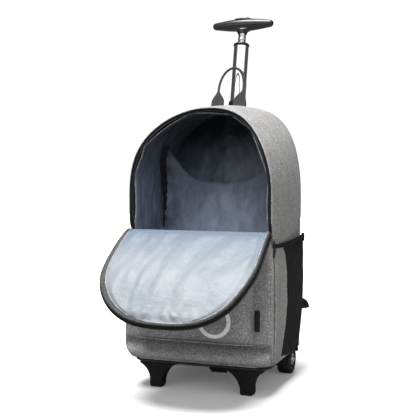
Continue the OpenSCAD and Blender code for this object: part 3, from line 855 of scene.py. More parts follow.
# ---- flap ----

FLAP_HALF, FLAP_LEN = 143.5, 230.0
FLAP_MID, FLAP_ROUND = 62.0, 2.6  # where its sides turn into its round tip, and how round that is
FLAP_SPREAD = 9.0  # how far its left side has stretched outwards
DROOP, TIP_DROOP = 33.5, 54.0  # degrees below level before and after its bend
FLAP_BEND = 150.0  # from its fold to the middle of its bend


def droop_at(s):
    """Droop of the flap in radians at a distance from its fold."""
    return radians(mix(DROOP, TIP_DROOP, ease(FLAP_BEND - 45, FLAP_BEND + 45, s)))


def flap_line(s):
    """Depth, height and droop at a distance along the flap from its fold."""
    y, z, steps = FRONT_Y, FOLD_Z, 60
    for k in range(steps):
        turn = droop_at(s * (k + 0.5) / steps)
        y -= cos(turn) * s / steps
        z -= sin(turn) * s / steps
    return y, z, droop_at(s)


FLAP_LINE = [flap_line(float(s)) for s in range(-2, 260)]


def flap_at(x, s, h):
    """A point of the flap: across, along from the fold, and up from its outer face."""
    k = min(max(s + 2, 0.0), len(FLAP_LINE) - 1.001)
    (y0, z0, t0), (y1, z1, t1) = FLAP_LINE[int(k)], FLAP_LINE[int(k) + 1]
    part = k - int(k)
    y, z, turn = mix(y0, y1, part), mix(z0, z1, part), mix(t0, t1, part)
    h -= 6.0 * (abs(x) / FLAP_HALF) ** 2 * ease(10, 120, s)
    if x < 0:
        x += FLAP_SPREAD * x / FLAP_HALF * sin(pi * min(1.0, max(0.0, s) / 215)) ** 0.7
    return x, y - h * sin(turn), z + h * cos(turn)


def flap_shape(inset):
    """The flap's outline as an arch, inset from its edge."""
    return FLAP_HALF - inset, FLAP_MID, FLAP_LEN - inset, FLAP_ROUND


def flap_half(s, inset=0.0):
    """Half width of the flap at a distance from its fold."""
    return half_at(s, flap_shape(inset))


def flap_rows(count):
    """Distances along the flap, closer together towards its round tip."""
    start = shares(count // 2, 0.0, FLAP_MID)
    rest = shares(count // 2 + 1)[1:]
    return start + [mix(FLAP_MID, FLAP_LEN, sin(pi / 2 * t)) for t in rest]


def flap_wrinkle(x, s):
    """Folds of the lining that fan down from the fold, with puckers along its lower seam."""
    lean = mix(0.95, 0.55, ease(-FLAP_HALF, FLAP_HALF, x))
    slant = x * lean + s * (1 - lean)
    across = s * lean - x * (1 - lean)
    fold = 3.4 * ripple(slant, across / 4.5, 0, 30) + 1.5 * ripple(slant, across / 2.5, 7, 12)
    edge = ease(0.84, 0.97, max(abs(x) / max(flap_half(s), 1.0) * 0.8, s / FLAP_LEN))
    beat = sin(atan2(x, s - 60) * 52 + 5 * ripple(x, s, 0, 26))
    return fold + 2.2 * edge * beat * (0.6 + 0.7 * ripple(x, s, 11, 40))


def lining_height(x, s):
    """Height of the lining over the flap's outer face: low at the fold and at its seam, full between."""
    seam = ease(1.0, 0.9, abs(x) / flap_half(s, 10.0)) * ease(FLAP_LEN - 10, FLAP_LEN - 24, s)
    return 7.0 - 2.0 * ease(14, 0, s) + seam * ease(0, 24, s) * (4.0 + flap_wrinkle(x, s))


def edge_share(x):
    """How much of the edge strip shows: widest on the flap's left side, half as wide on its right."""
    return mix(1.0, 0.4, ease(-125, 10, x))


def flap_outline(inset, count=120, even=True):
    """(x, s) along the flap's edge from one end of its fold round the tip to the other."""
    path = []
    for u in shares(count):
        w = inset
        if not even:
            w *= edge_share(arch(u, flap_shape(w), 0.0)[0])
        path.append(arch(u, flap_shape(w), 0.0)[:2])
    return path


def flap_run(h, inset, count=120, even=True):
    """Points along the flap's edge, up from its outer face."""
    return [flap_at(x, s, h) for x, s in flap_outline(inset, count, even)]


def lining_point(x, s, lift):
    """A point of the flap's lining, which reaches closer to the edge on the right side."""
    w = 10.0 * edge_share(x)
    along = s * (FLAP_LEN - w - 0.5) / (FLAP_LEN - 10.5)
    across = x * (FLAP_HALF - w) / (FLAP_HALF - 10.0)
    return flap_at(across, along, lining_height(x, s) + lift)


def bends(obj, slot, *nodes):
    """A flap piece: hides the CAD nodes that it stands for and bakes its place into its mesh."""
    if nodes:
        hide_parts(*nodes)
    low, high = (at(*flap_at(0, FLAP_BEND + d, 3)) for d in (-14, 14))
    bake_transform(obj)


def flap_shell():
    """The padded outer cloth of the flap, rounded towards its edge and thin at its fold."""
    top, under = [], []
    for s in flap_rows(60):
        half = flap_half(s)
        upper, lower = [], []
        for a in shares(49, -1.0, 1.0):
            x = a * half
            puff = max(0.0, 1 - abs(a) ** 14) ** 0.5 if s < FLAP_LEN - 1 else 0.0
            puff *= ease(FLAP_LEN, FLAP_LEN - 6, s) * mix(0.15, 1.0, ease(0, 16, s))
            upper.append(flap_at(x, s, 3.5 + 3.5 * puff))
            lower.append(flap_at(x, s, 3.5 - 3.5 * puff - 1.2 * puff * (1 + ripple(x, s, 4, 36))))
        top.append(upper)
        under.append(lower)
    shell = closed_form("flap_shell", top, under, HEATHER)
    bends(shell, "fabric", "flap_base", "flap_tip")


def flap_lining():
    rows = []
    for t in shares(110):
        s = (FLAP_LEN - 10.5) * sin(pi / 2 * t) ** 1.15
        half = max(flap_half(s, 10.0), 4.0)
        rows.append([lining_point(a * half, s, 0.6) for a in shares(91, -1.0, 1.0)])
    lining = sheet_from("flap_lining", rows, PALE, 1.2)
    bends(lining, "flap_lining")


def flap_edge():
    """What runs round the flap's edge: a fabric strip, the lining's hem, the zip's half and the binding."""
    rows = [flap_run(7.6, inset, even=False) for inset in (11.5, 7.5, 3.5, 0.8)]
    bends(sheet_from("flap_edge_strip", rows, HEATHER_RIM, 0.8), "fabric")
    # The lining's hem is painted pale as a highlight.
    hem = sweep("flap_lining_hem", flap_run(8.0, 10.0, even=False), (0, -0.5, 0.8), oval(1.8, 1.6, 8), EDGE)
    bends(hem, "flap_lining")
    up = (0, -0.62, 0.78)
    tape = sweep("flap_zip_tape", flap_run(1.6, -1.4, 160), up, oval(2.0, 7.0, 8, 4), TAPE)
    bends(tape, "zip_tape", "flap_zipper_base", "flap_zipper_tip")
    bends(coil("flap_zip_coil", flap_run(-1.6, -2.6, 520), up), "zip_tape")
    binding = sweep("flap_edge_binding", flap_run(6.2, 1.0, 160), up, oval(2.6, 2.6, 8), HEATHER_RIM)
    bends(binding, "fabric")


def fold_cloth():
    """The roll of lining over the fold and the outer cloth under it."""
    rows = []
    for x in shares(70, -FLAP_HALF + 11, FLAP_HALF - 11):
        inner = ((-5.0, -18.0), (-6.0, -8.0), (-8.0, -1.5), (-11.0, 2.2))
        row = [(x, y, FOLD_Z + h + 0.6 * ripple(x, y, 0, 14)) for y, h in inner]
        rows.append(row + [flap_at(x, s, lining_height(x, s)) for s in (0.5, 4.0, 9.0)])
    cloth = sheet_from("fold_lining", rows, PALE, 1.2)
    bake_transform(cloth)
    rows = []
    for x in shares(60, -FLAP_HALF + 2, FLAP_HALF - 2):
        row = [(x, y, FOLD_Z + h) for y, h in ((-14.6, -14.0), (-15.2, -6.0), (-16.0, -2.5))]
        rows.append(row + [flap_at(x, s, -0.6) for s in (6.0, 14.0)])
    cloth = sheet_from("fold_outer_cloth", rows, HEATHER, 1.6)
    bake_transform(cloth)


# ---- opening ----


def rim_kink(u):
    """Share from 0 to 1 of the small folds along the lining's upper edge."""
    return abs(sin(u * 41 + 2 * ripple(u * 9, 0, 0, 1)))


def rim_place(u, inward, lift):
    """A place on the tape that lies back from the rim, inward along it and lifted to the front."""
    turn = radians(38)
    point, nx, nz = rim(u)
    inside = inward * cos(turn)
    return point.x - nx * inside, point.y + inward * sin(turn) - lift, point.z - nz * inside


def rim_band():
    """Zip tape that lies back from the rim, its coil, and the folded edge of the lining, painted pale as a
    highlight.
    """
    start = SIDE_SHARE * (FOLD_Z + 2 - FABRIC_LOW) / (ARCH_Z - FABRIC_LOW)

    def tape_point(i, j):
        return rim_place(mix(start, 1 - start, i), mix(0.5, 7.5, j), 0.8)

    belongs(surface("main_zip_tape", tape_point, 150, 4, TAPE, 1.4), "bag", "zip_tape", "main_zipper")
    path = [rim_place(u, 6.8, 1.6) for u in shares(560, start, 1 - start)]
    belongs(coil("main_zip_coil", path, (0, -1, 0)), "bag", "zip_tape")
    path = [rim_place(u, 8.0 + 4.5 * rim_kink(u), 0.6) for u in shares(150, start, 1 - start)]
    belongs(sweep("lining_rim_fold", path, (0, -1, 0), oval(1.8, 1.5, 6), EDGE), "bag", "lining")


def side_lining():
    """The lining of the sides and the top, in soft folds that run down the walls."""
    def point(u, v):
        front, nx, nz = rim(u, LINING_LOW)
        rx, rz, _, _ = arch(u, LINING_ARCH, LINING_LOW)
        start = 7.0 + 4.0 * rim_kink(u) * ease(0.2, 0.0, v)
        x, z = mix(front.x - nx * start, rx, v), mix(front.z - nz * start, rz, v)
        y = mix(front.y + 6.0, lean_depth(rz, LINING_GAP) + 1, v)
        hollow = sin(pi * min(1.0, v * 1.15)) ** 0.6 if v < 0.87 else 0.0
        fold = 3.6 * ripple(v * 9, u * 3.2, 0, 1) + 2.0 * ripple(v * 22, u * 7, 5, 1)
        crease = 2.6 * crumple(x, y, z, 46, 2)
        inward = max(0.0, 2.2 + fold + crease) * hollow
        return x - nx * inward, y, z - nz * inward

    obj = surface("side_lining", point, 200, 60, LINING, 1.0)
    belongs(obj, "bag", "lining")


def rear_wall():
    """Rear lining over the pole's channel, crumpled where nothing stretches it."""
    def point(i, j):
        z = LINING_LOW + (546 - LINING_LOW) * sin(pi / 2 * j) ** 0.9
        half = half_at(z, LINING_ARCH)
        x = mix(-half, half, i)
        channel = 9.0 * exp(-((x + 4) / 30) ** 2)
        loose = ease(0.0, 0.25, i) * ease(1.0, 0.75, i)
        fold = 4.0 * crumple(x * 1.3, 0, z * 0.8, 74, 1) + 1.8 * crumple(x, 0, z, 31, 4)
        return x, lean_depth(z, LINING_GAP) - channel - fold * loose, z
    obj = surface("rear_wall_lining", point, 70, 90, LINING, 1.0)
    belongs(obj, "bag", "lining", "rear_lining")


def sleeve_top(x):
    """Height of the sleeve's upper edge: low in the middle, sweeping up to the walls."""
    return 398 + 80 * min(1.0, abs(x) / 122) ** 3.2


def sleeve_depth(x, z):
    """Depth of the sleeve: a padded sheet whose sides come forward to the walls."""
    wing = ease(92, 134, abs(x))
    forward = mix(0.0, 34.0, ease(380, 490, z))
    pad = 2.5 * cos(min(1.0, abs(x) / 120) * pi / 2)
    return lean_depth(z, SLEEVE_GAP) - pad - wing * forward


def sleeve():
    """The padded laptop sleeve in front of the pole's channel, and the hem along its upper edge."""
    def point(i, j):
        x = mix(-133.0, 133.0, i)
        z = mix(LINING_LOW, sleeve_top(x), j)
        x = copysign(min(abs(x), half_at(z, LINING_ARCH) + 1), x)
        gather = ease(88, 130, abs(x)) * ease(60, 125, abs(x))
        pucker = 3.0 * gather * sin(z / 5.2 + 2 * ripple(x, z, 0, 16))
        fold = 1.4 * ripple(x, z, 4, 38) + 0.8 * crumple(x, 0, z, 44, 6)
        return x, sleeve_depth(x, z) - pucker - fold, z

    obj = surface("laptop_sleeve_pad", point, 110, 70, LINING, 3.2)
    belongs(subdivide(obj), "bag", "lining", "laptop_sleeve")
    path = [(x, sleeve_depth(x, sleeve_top(x)), sleeve_top(x)) for x in shares(90, -114.0, 114.0)]
    belongs(sweep("sleeve_hem", path, (0, 0, 1), oval(4.4, 3.0, 8, 3), LINING), "bag", "lining")


def sleeve_strips():
    """Black net strips that join the sleeve's sides to the walls."""
    for side, name in SIDES:
        def point(i, j, side=side):
            z = mix(240.0, 474.0, j)
            y = mix(108.0, 128.0, i) - mix(0.0, 32.0, ease(390, 474, z))
            bow = sin(pi * i)
            gather = 1.6 * sin(z / 3.0 + 3 * ripple(0, z, y, 20)) * bow
            return side * (half_at(z, LINING_ARCH) - 8.5 - gather - 3.0 * bow), y, z

        obj = surface(f"sleeve_net_strip_{name}", point, 8, 110, NET, 1.2)
        belongs(obj, "bag", "mesh")
    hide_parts("sleeve_bindings")


# ---- sides ----

POCKET_LOW_Z, POCKET_TOP_Z = 61.0, 276.0
# Depths at some heights at which a side pocket's cloth gives way to its net.
NET_EDGE = ((61, 52), (77, 60), (120, 79), (169, 87), (225, 85), (258, 79), (270, 70), (284, 62))


def net_edge(z):
    for (z0, y0), (z1, y1) in zip(NET_EDGE, NET_EDGE[1:]):
        if z <= z1:
            return mix(y0, y1, (z - z0) / (z1 - z0))
    return NET_EDGE[-1][1]


def side_pocket_point(side, y, z, lift=0.0):
    """A point of a side pocket's face; the elastic draws its top in, and it swells behind."""
    rear = rear_at(z) - 3
    a = min(1.0, max(0.0, (y - 6) / (rear - 6)))
    b = min(1.0, max(0.0, (z - POCKET_LOW_Z) / (POCKET_TOP_Z - POCKET_LOW_Z)))
    swell = mix(0.28, 1.0, ease(0.12, 0.8, a)) * ease(-0.04, 0.03, a)
    swell *= max(0.0, 1 - max(0.0, (a - 0.88) / 0.12) ** 2) ** 0.5
    high = mix(6.0, 12.5, ease(0.0, 0.42, b)) - 3.0 * ease(0.7, 1.0, b)
    soft = 0.9 * ripple(y, z, side, 30) + 0.8 * ripple(y, z * 0.35, side, 12) * ease(0.4, 1.0, b)
    gather = 0.8 * sin(y * 0.62 + 2 * ripple(y, 0, 0, 18)) * ease(0.86, 1.0, b) * ease(0.05, 0.3, a)
    corner = (-BULGE_LEFT if side < 0 else BULGE_RIGHT) * corner_bulge(z) * (1 - ease(0.0, 0.4, a))
    x = 141.0 + corner + (high + soft + gather) * swell + lift
    return side * x, y, z


def side_pockets():
    """Each side pocket: cloth in front, net behind, and the curved seam between them."""
    for side, name in SIDES:
        def cloth_point(i, j, side=side):
            z = mix(POCKET_LOW_Z + 0.5, POCKET_TOP_Z, j)
            return side_pocket_point(side, mix(5.0, net_edge(z), i), z)

        def net_point(i, j, side=side):
            z = mix(POCKET_LOW_Z + 0.5, POCKET_TOP_Z, j)
            return side_pocket_point(side, mix(net_edge(z) - 1, rear_at(z) - 3, i), z, -0.6)

        cloth = surface(f"side_pocket_cloth_{name}", cloth_point, 24, 60, HEATHER, 1.8)
        belongs(cloth, "bag", "fabric")
        net = surface(f"side_pocket_net_{name}", net_point, 50, 90, NET, 1.2)
        belongs(net, "bag", "mesh", f"side_pocket_{name}")
        heights = shares(60, POCKET_LOW_Z + 1, POCKET_TOP_Z)
        path = [side_pocket_point(side, net_edge(z), z, 0.6) for z in heights]
        belongs(sweep(f"net_seam_{name}", path, (side, 0, 0), oval(2.6, 1.6, 8), HEATHER), "bag", "fabric")


BAND_Z = 284.0  # middle of the elastic at the front


def elastic_bands():
    """Gathered elastic round the mouth of each side pocket, lower at the front and wider behind."""
    def section(t):
        return oval(1.9 + 0.5 * sin(t * 130), mix(7.0, 15.0, ease(0.05, 0.75, t)), 12, 4)

    for side, name in SIDES:
        path = []
        for t in shares(150):
            y = mix(-4.0, rear_at(POCKET_TOP_Z) - 3, t)
            z = BAND_Z - 4.0 * sin(pi * min(1.0, t * 1.2)) + 2.0 * t
            x, _, _ = side_pocket_point(side, max(y, 6.0), min(z, POCKET_TOP_Z), 2.4 + 0.5 * sin(t * 130))
            path.append((x, y, z))
        band = sweep(f"elastic_band_{name}", path, (0, 0, 1), section, ELASTIC)
        belongs(band, "bag", "black_webbing")
    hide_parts("elastic_bands")


# ---- top ----


def haul_loop():
    """Webbing loop: wide stitched ends that narrow into a folded, rounded grip."""
    base_y, base_z, lean = 175.4, 559.5, radians(21)
    left, over, right = [], [], []  # (across, up, from -1 at the left end over 0 to 1 at the right one)
    for t in shares(16):
        left.append((mix(-27.0, -29.0, t), mix(-4.5, 36, t), -t))
        right.append((mix(21.0, 27.5, ease(0.34, 1.0, t)), mix(-4.5, 36, t), t))
    for a in shares(40)[1:-1]:
        turn = pi * (1 - a)
        over.append((28.2 * cos(turn) - 0.8, 36 + 51 * sin(turn) ** 0.9, mix(-1.0, 1.0, a)))
    path = left + over + right[::-1]

    def section(t):
        _, high, k = path[round(t * (len(path) - 1))]
        narrow = ease(0.34, 1.0, abs(k)) if abs(high) < 36 else 1.0
        slim = mix(5.0, 8.5, ease(0.1, 0.9, k))
        return oval(mix(28.0, slim, narrow), mix(2.6, 4.6, narrow), 14, mix(5, 2.2, narrow))

    points = [(x, base_y + s * sin(lean), base_z + s * cos(lean)) for x, s, _ in path]
    loop = sweep("haul_loop_webbing", points, (0, -cos(lean), sin(lean)), section, GREY_WEB)
    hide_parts("haul_loop")
    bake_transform(loop)


def pole_ring(name, s, profile, material):
    """A ring round the pole from its (radius, distance) profile, at a place along the pole."""
    return lathe(name, profile, (0, *along_pole(s)), POLE_AXIS, material)


def pole_grommet():
    """Moulded ring with a stitched flange where the pole comes out of the top."""
    profile = [(19.4, -6), (22.0, -5), (23.0, -2.0), (22.0, 0.2), (20.6, 1.2), (19.4, 1.0)]
    belongs(pole_ring("pole_grommet", -10.0, profile, MOULDED), "bag", "moulded_black")


# ---- pole and grip ----


def pole_point(x, d, s):
    """A point beside the pole: across, behind and along it."""
    y, z = along_pole(s)
    return Vector((x, y + d * cos(POLE_LEAN), z - d * sin(POLE_LEAN)))


GRIP_S = 182.0  # where its middle is along the pole
GRIP_WIDE, GRIP_R = 138.0, 13.0
PARTING = 1.0  # how far its groove is above its middle


def grip_radius(x):
    """Radius of the grip at a place: full in the middle, slimmer outwards and rounded off at its ends."""
    reach, end = GRIP_WIDE / 2, 6.6
    t = min(1.0, abs(x) / reach)
    body = mix(end, GRIP_R, (1 - t * t) ** 1.3)
    return body * max(0.0, 1 - max(0.0, (abs(x) - reach + end) / end) ** 2) ** 0.5


def grip_half(name, upper, node):
    """One shell of the T-grip, meeting the other on a fine groove."""
    rows = []
    for t in shares(111, -1.0, 1.0):
        x = GRIP_WIDE / 2 * sin(pi / 2 * t)
        r = grip_radius(x)
        ring = []
        for a in shares(41, 0.0, pi):
            swell = 1.0 if upper else 1 + 0.06 * sin(a)
            d, s = r * cos(a), r * swell * sin(a)
            if upper and (abs(x) / 17.0) ** 2.6 + (abs(d) / 8.8) ** 2.6 < 1:
                s = min(s, 4.0)  # the well that the button travels in
            ring.append(pole_point(x, d, GRIP_S + PARTING + (s if upper else -s - 0.5)))
        rows.append(ring)
    flat = [[row[0].lerp(row[-1], t) for t in shares(len(row))] for row in rows]
    shell = sharpen(closed_form(name, rows, flat, GLOSS), 50)
    belongs(shell, "stage2", "gloss_black", node)


def pole_rows(levels, ring):
    """Rows round the pole's axis: each level gives a ring's half width, half depth and height on the grip."""
    return [[pole_point(x * wide, d * deep, GRIP_S + s) for x, d in ring] for wide, deep, s in levels]


def grip():
    """Both shells of the T-grip, and the flared neck that they share."""
    grip_half("grip_top", True, "grip_upper_shell")
    grip_half("grip_bottom", False, "grip_lower_shell")
    levels = (
        (9.6, 9.6, -20), (9.7, 9.7, -18), (10.2, 10.0, -16), (12.5, 10.6, -13.5), (18, 10.2, -11.2),
        (26, 9.0, -9.6), (30, 8.0, -7.5),
    )
    circle = [(cos(a), sin(a)) for a in shares(41, 0.0, 2 * pi)[:-1]]
    neck = sheet_from("grip_neck", pole_rows(levels, circle), GLOSS, 1.6, True)
    belongs(subdivide(neck), "stage2", "gloss_black")


def button():
    """Oval bezel and the press button in it, both with rounded edges."""
    ring = oval(2, 2, 48, 2.6)
    levels = (
        (20.0, 10.2, 10.0), (20.4, 10.5, 12.2), (19.2, 9.8, 13.4),
        (14.6, 8.2, 13.6), (13.7, 7.6, 12.8), (13.6, 7.5, 6.0),
    )
    bezel = sheet_from("button_rim", pole_rows(levels, ring), GLOSS, 1.0, True)
    belongs(subdivide(bezel), "stage2", "gloss_black", "button_bezel")
    levels = (
        (12.9, 6.9, 10.2), (12.9, 6.9, 16.2), (12.4, 6.5, 18.0),
        (10.5, 5.2, 18.9), (5.0, 2.4, 19.2), (0.1, 0.1, 19.2),
    )
    cap = sheet_from("press_button", pole_rows(levels, ring), SILVER, 0.8, True, -1.0)
    belongs(face_out(subdivide(cap)), "button", "silver_plastic", "handle_button")


def tube_fittings():
    """Lip of the thick tube's collar, and the ring on the thin tube."""
    profile = [
        (8.1, -1.0), (16.1, -6.0), (17.0, -5.6), (17.5, -4.0),
        (17.0, -2.4), (14.0, -0.4), (9.4, 0.6), (8.1, 0.5),
    ]
    belongs(pole_ring("collar_lip", 140.0, profile, GLOSS), "stage1", "gloss_black", "stage1_collar")
    profile = [(8.0, -2.2), (8.9, -1.8), (9.2, 0), (8.9, 1.8), (8.0, 2.2)]
    belongs(pole_ring("thin_tube_ring", 149.0, profile, CHROME), "stage2", "chrome_tube")


# ---- back ----


def back_point(x, h, off):
    """A point on the leaning back: across, up along it, and off it."""
    lean = atan(REAR_SLOPE)
    y = REAR_Y + h * sin(lean) + off * cos(lean)
    return Vector((x, y, FABRIC_LOW + h * cos(lean) - off * sin(lean)))


def back_padding():
    """Padded back: three quilted ribs with sewn channels between them, and the guard under it."""
    high, low, top = 494.0, FABRIC_LOW + 2, REAR_ARCH[2] - 2

    def point(i, j):
        z = low + (top - low) * sin(pi / 2 * j) ** 0.95
        half = half_at(z, REAR_ARCH) - 1.5
        x = mix(-half, half, i)
        h = (z - FABRIC_LOW) / cos(atan(REAR_SLOPE))
        edge = min(1.0, 10 * min(i, 1 - i)) * min(1.0, 12 * (1 - j)) * min(1.0, 14 * j + 0.2)
        rib = abs(cos(pi * x / 92)) ** 0.5
        row = 1 - 0.8 * exp(-((h % 96 - 48) / 4) ** 2)
        pad = 4.2 * rib * row * edge * ease(high, high - 40, h)
        return back_point(x, h, -2.0 + pad + 0.5 * ripple(x, h, 0, 26))

    obj = surface("back_padding", point, 130, 150, SPACER, 2.0)
    belongs(obj, "bag", "fabric", "back_panel")
    belongs(fine_copy("rear_guard", "kick_plate", 1.5, 40), "bag", "moulded_black", "rear_guard")


def fine_copy(node, name, width, angle):
    """A copy of a CAD node with the edges that are sharper than an angle bevelled."""
    obj = bpy.data.objects.new(name, NODES[node].data.copy())
    SCENE.collection.objects.link(obj)

    def change(bm):
        bmesh.ops.remove_doubles(bm, verts=bm.verts, dist=1e-5)
        bmesh.ops.dissolve_limit(bm, angle_limit=radians(1), verts=bm.verts, edges=bm.edges)

    return bevel(edited(obj, change), width, 3, angle)


# Down the middle of a strap: (across, up along the back), and for its webbing the distance off the back.
STRAP_MIDDLES = ((57, 468), (58, 440), (60, 400), (63, 360), (68, 315), (73, 265), (76, 225), (77, 196))
WEB_RUN = (
    (76, 206, 11.5), (80, 186, 10.5), (95, 150, 7.0), (112, 112, 5.0),
    (124, 88, 5.0), (127.5, 76, 6.5), (128, 62, 6.0),
)
TAIL_RUN = ((128, 80, 9.5), (136, 84, 13.0), (143, 86, 14.0), (148, 82, 15.0), (150, 74, 14.0))
TAB_ROWS = ((20, 139, 141), (34, 128, 141), (48, 119, 141), (60, 117, 141), (68, 117, 141))  # (up, from, to)


def strap_pad(side, name):
    """The padded part of a strap, narrower at its lower end, with a binding along both edges."""
    path = smooth_path([back_point(side * x, h, 6.2) for x, h in STRAP_MIDDLES], 40)

    def taper(t):
        return 1 - 0.35 * ease(0.86, 1.0, t)

    def section(t):
        swell = sin(pi * t)
        wide = mix(52, 56, swell) * taper(t) * (0.86 + 0.14 * ease(0, 0.1, t))
        return oval(wide, 10.5 * (0.75 + 0.25 * swell), 20, 3.2)

    pad = sweep(f"shoulder_pad_{name}", path, (0, 1, -0.09), section, HEATHER_DARK)
    inflate(pad, 2.0, voxel=5.0, pressure=3.0)
    belongs(pad, "bag", "fabric", f"shoulder_strap_{name}")
    for edge, place in ((-1, "in"), (1, "out")):
        run = [p + Vector((side * edge * 24.0 * taper(t), 3.6, 0)) for p, t in zip(path, shares(40))]
        binding = sweep(f"strap_binding_{name}_{place}", run, (0, 1, 0), oval(3.0, 2.6, 8), WEBBING)
        belongs(binding, "bag", "black_webbing")


def strap_webbing(name, side, stations, count, section):
    """A flat band of webbing through (across, up, off) stations on the back."""
    run = smooth_path([back_point(side * x, h, off) for x, h, off in stations], count)
    return belongs(sweep(name, run, (0, 1, 0), section, WEBBING), "bag", "black_webbing")


def shoulder_straps():
    """Both straps: the pad, the webbing down to the lower corner, its loose tail and the corner tab."""
    for side, name in SIDES:
        strap_pad(side, name)
        web = strap_webbing(f"strap_web_{name}", side, WEB_RUN, 40, oval(22, 1.8, 10, 4))
        strap_webbing(f"strap_tail_{name}", side, TAIL_RUN, 30, oval(20, 1.6, 10, 4))
        rows = []
        for h, low, high in TAB_ROWS:
            off = 1.4 + 3.2 * ease(40, 64, h)
            rows.append([back_point(side * mix(low, high, i), h, off) for i in shares(8)])
        tab = subdivide(sheet_from(f"strap_tab_{name}", rows, HEATHER, 2.2))
        belongs(tab, "bag", "fabric")
    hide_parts("strap_webbing")
    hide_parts("strap_tabs")
    belongs(fine_copy("ladder_locks", "ladder_buckles", 1.2, 40), "bag", "gloss_black", "ladder_locks")


def smooth_path(points, count):
    """Evenly spread points on a smooth curve through the given ones."""
    out = []
    last = len(points) - 1
    for t in shares(count, 0, last):
        k = min(int(t), last - 1)
        f = t - k
        p0, p1, p2, p3 = points[max(k - 1, 0)], points[k], points[k + 1], points[min(k + 2, last)]
        square = 2 * p0 - 5 * p1 + 4 * p2 - p3
        cube = 3 * p1 - p0 - 3 * p2 + p3
        out.append(0.5 * (2 * p1 + (p2 - p0) * f + square * f ** 2 + cube * f ** 3))
    return out


# ---- base and wheels ----


BASE_PIECES = (  # (node, piece, bevel)
    ("base_tray", "moulded_tray", 2.0),
    ("front_stand", "foot_bridge", 1.2),
    ("foot_pads", "rubber_feet", 0.8),
    ("wheel_housing_left", "wheel_arch_left", 1.0),
    ("wheel_housing_right", "wheel_arch_right", 1.0),
    ("pole_guide_collar", "guide_collar", 0.8),
)


def base():
    """The base's mouldings with rounded edges, and the lip round the tray, painted lighter as a highlight."""
    for node, name, width in BASE_PIECES:
        piece = sharpen(smooth_faces(fine_copy(node, name, width, 30)), 40)
        belongs(piece, "bag", "rubber" if node == "foot_pads" else "moulded_black", node)
    lip = sweep("tray_lip", tray_edge(), (0, 0, 1), oval(3.0, 2.4, 8), MOULDED_HIGHLIT)
    belongs(lip, "bag", "moulded_black")


def tray_edge():
    """Outline of the tray's upper edge from one rear corner round the front to the other."""
    half, front, corner, z = 138.0, FRONT_Y + 2.0, 30.0, 54.0
    right = [(half, y, z) for y in shares(12, rear_at(FABRIC_LOW) - 36, front + corner)]
    for a in shares(10, radians(8), radians(88)):
        right.append((half - corner + corner * cos(a), front + corner - corner * sin(a), z))
    return right + [(-x, y, z) for x, y, z in reversed(right)]


WHEEL_AT = (118.0, 200.0, 30.0)
TREAD = (
    (22.2, 12.6), (25.0, 13.0), (27.6, 12.4), (28.4, 12.9),
    (29.3, 11.6), (29.8, 8.0), (29.4, 6.6), (30.0, 5.4),
)
RIM = ((18.6, 8.2), (19.2, 11.0), (20.4, 12.4), (22.1, 11.8))


def wheel_ring(name, half, side, material, sides):
    """A ring round a wheel's axle from the outer half of its (radius, distance) profile."""
    profile = [(r, -d) for r, d in half] + [(r, d) for r, d in reversed(half)]
    x, y, z = WHEEL_AT
    return sharpen(lathe(name, profile, (side * x, y, z), (1, 0, 0), material, sides), 40)


def wheels():
    """Tyres with a crowned tread, side grooves and a raised edge, and the rims that hold them, painted
    lighter as a highlight.
    """
    for side, name in SIDES:
        tyre = wheel_ring(f"tyre_tread_{name}", TREAD, side, TYRE, 96)
        belongs(tyre, f"wheel_{name}", "tyre", f"tyre_{name}")
        rim_ring = wheel_ring(f"wheel_rim_{name}", RIM, side, MOULDED_HIGHLIT, 72)
        belongs(rim_ring, f"wheel_{name}", "moulded_black")


PIECES = (
    outer_skin, seam_welts, bottom_edge, front_panel, pocket, ring_badge, side_tag,
    flap_shell, flap_lining, flap_edge, fold_cloth, rim_band, side_lining, rear_wall, sleeve, sleeve_strips,
    side_pockets, elastic_bands, haul_loop, pole_grommet, grip, button, tube_fittings, back_padding,
    shoulder_straps, base, wheels,
)
for build in PIECES:
    build()

# ---- camera, light and floor ----


CAMERA_AT = (557, -1452.7, 420.7)
CAMERA_TURN, CAMERA_DIP = 0.356, 0.044  # radians to the bag's left, and down
CAMERA_LENS = 70.9


def make_camera():
    data = bpy.data.cameras.new("camera")
    data.lens = CAMERA_LENS
    data.sensor_width = 36
    camera = bpy.data.objects.new("camera", data)
    camera.location = at(*CAMERA_AT)
    flat = cos(CAMERA_DIP)
    look = Vector((-sin(CAMERA_TURN) * flat, cos(CAMERA_TURN) * flat, -sin(CAMERA_DIP)))
    camera.rotation_euler = look.to_track_quat("-Z", "Y").to_euler()
    SCENE.collection.objects.link(camera)
    SCENE.camera = camera


LAMP_STRENGTH = 6.6
LAMP_FROM = (-0.08, -0.24, 1.0)
LAMP_ANGLE = radians(32)
SOFTBOX_TOWARDS = (0.35, -0.94, 0.0)  # from the bag towards the middle of the softbox
SOFTBOX_LOW, SOFTBOX_HIGH = (0.06, 0.20), (0.86, 0.70)  # where it fades in and out, upwards
SOFTBOX_SIDES = (0.22, 0.50)
SOFTBOX_GLOW, WORLD_GLOW, WHITE_GLOW = 1.35, 0.08, 1.05
BOUNCE_ALBEDO = 0.22
FLOOR_GLOW = 0.07
FLOOR_HALF = 6.0


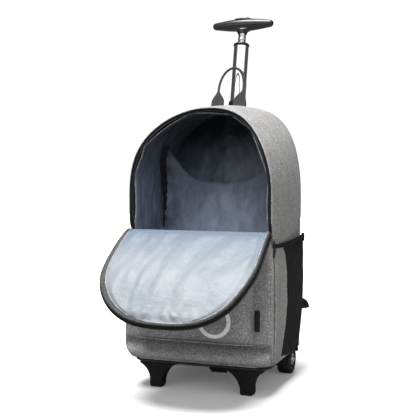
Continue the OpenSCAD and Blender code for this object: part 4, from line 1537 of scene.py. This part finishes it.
def white_floor():
    """Floor that reads white to the camera but throws back only a studio floor's light."""
    paint = Paint("floor_paint", roughness=0.95, specular=0.0)
    ray = paint.node("ShaderNodeLightPath", "Is Camera Ray")
    seen = paint.ramp(paint.noise(30, 3), (0.3, 0.90), (0.7, 0.92))
    paint.colour(paint.blended(ray, grey(BOUNCE_ALBEDO), seen))
    paint.feed(paint.shader["Emission Strength"], paint.maths("MULTIPLY", ray, FLOOR_GLOW))
    paint.feed(paint.shader["Emission Color"], grey(1.0))
    corners = [(x * FLOOR_HALF, y * FLOOR_HALF, 0) for x, y in ((-1, -1), (1, -1), (1, 1), (-1, 1))]
    new_object("floor", corners, [(0, 1, 2, 3)], paint.material)


def studio_world():
    """White to the camera; as light, a broad softbox in front above eye level and dim elsewhere."""
    world = bpy.data.worlds.new("studio")
    SCENE.world = world
    sky = Nodes(world)

    def step(source, low, high):
        inputs = {"Value": source, "From Min": low, "From Max": high}
        return sky.node("ShaderNodeMapRange", "Result", inputs, interpolation_type="SMOOTHSTEP")

    direction = sky.node("ShaderNodeTexCoord", "Generated")
    up = sky.node("ShaderNodeSeparateXYZ", "Z", {"Vector": direction})
    towards = {0: direction, 1: SOFTBOX_TOWARDS}
    facing = sky.node("ShaderNodeVectorMath", "Value", towards, operation="DOT_PRODUCT")
    band = sky.maths("MULTIPLY", step(up, *SOFTBOX_LOW), step(up, *SOFTBOX_HIGH))
    band = sky.maths("MULTIPLY", band, step(facing, *SOFTBOX_SIDES))
    light = sky.maths("MULTIPLY_ADD", band, SOFTBOX_GLOW, WORLD_GLOW)
    ray = sky.node("ShaderNodeLightPath", "Is Camera Ray")
    seen = sky.maths("MULTIPLY", ray, WHITE_GLOW)
    unseen = sky.maths("MULTIPLY", light, sky.maths("SUBTRACT", 1.0, ray))
    back = sky.tree.nodes["Background"].inputs
    sky.feed(back["Color"], grey(1.0))
    sky.feed(back["Strength"], sky.maths("ADD", seen, unseen))


def overhead_lamp():
    """One broad lamp almost straight above, a little to the front and the left."""
    data = bpy.data.lights.new("overhead_lamp", "SUN")
    data.energy = LAMP_STRENGTH
    data.angle = LAMP_ANGLE
    lamp = bpy.data.objects.new("overhead_lamp", data)
    lamp.rotation_euler = Vector(LAMP_FROM).to_track_quat("Z", "Y").to_euler()
    SCENE.collection.objects.link(lamp)


def make_stage():
    white_floor()
    studio_world()
    overhead_lamp()
    SCENE.view_settings.view_transform = "Standard"


make_camera()
make_stage()
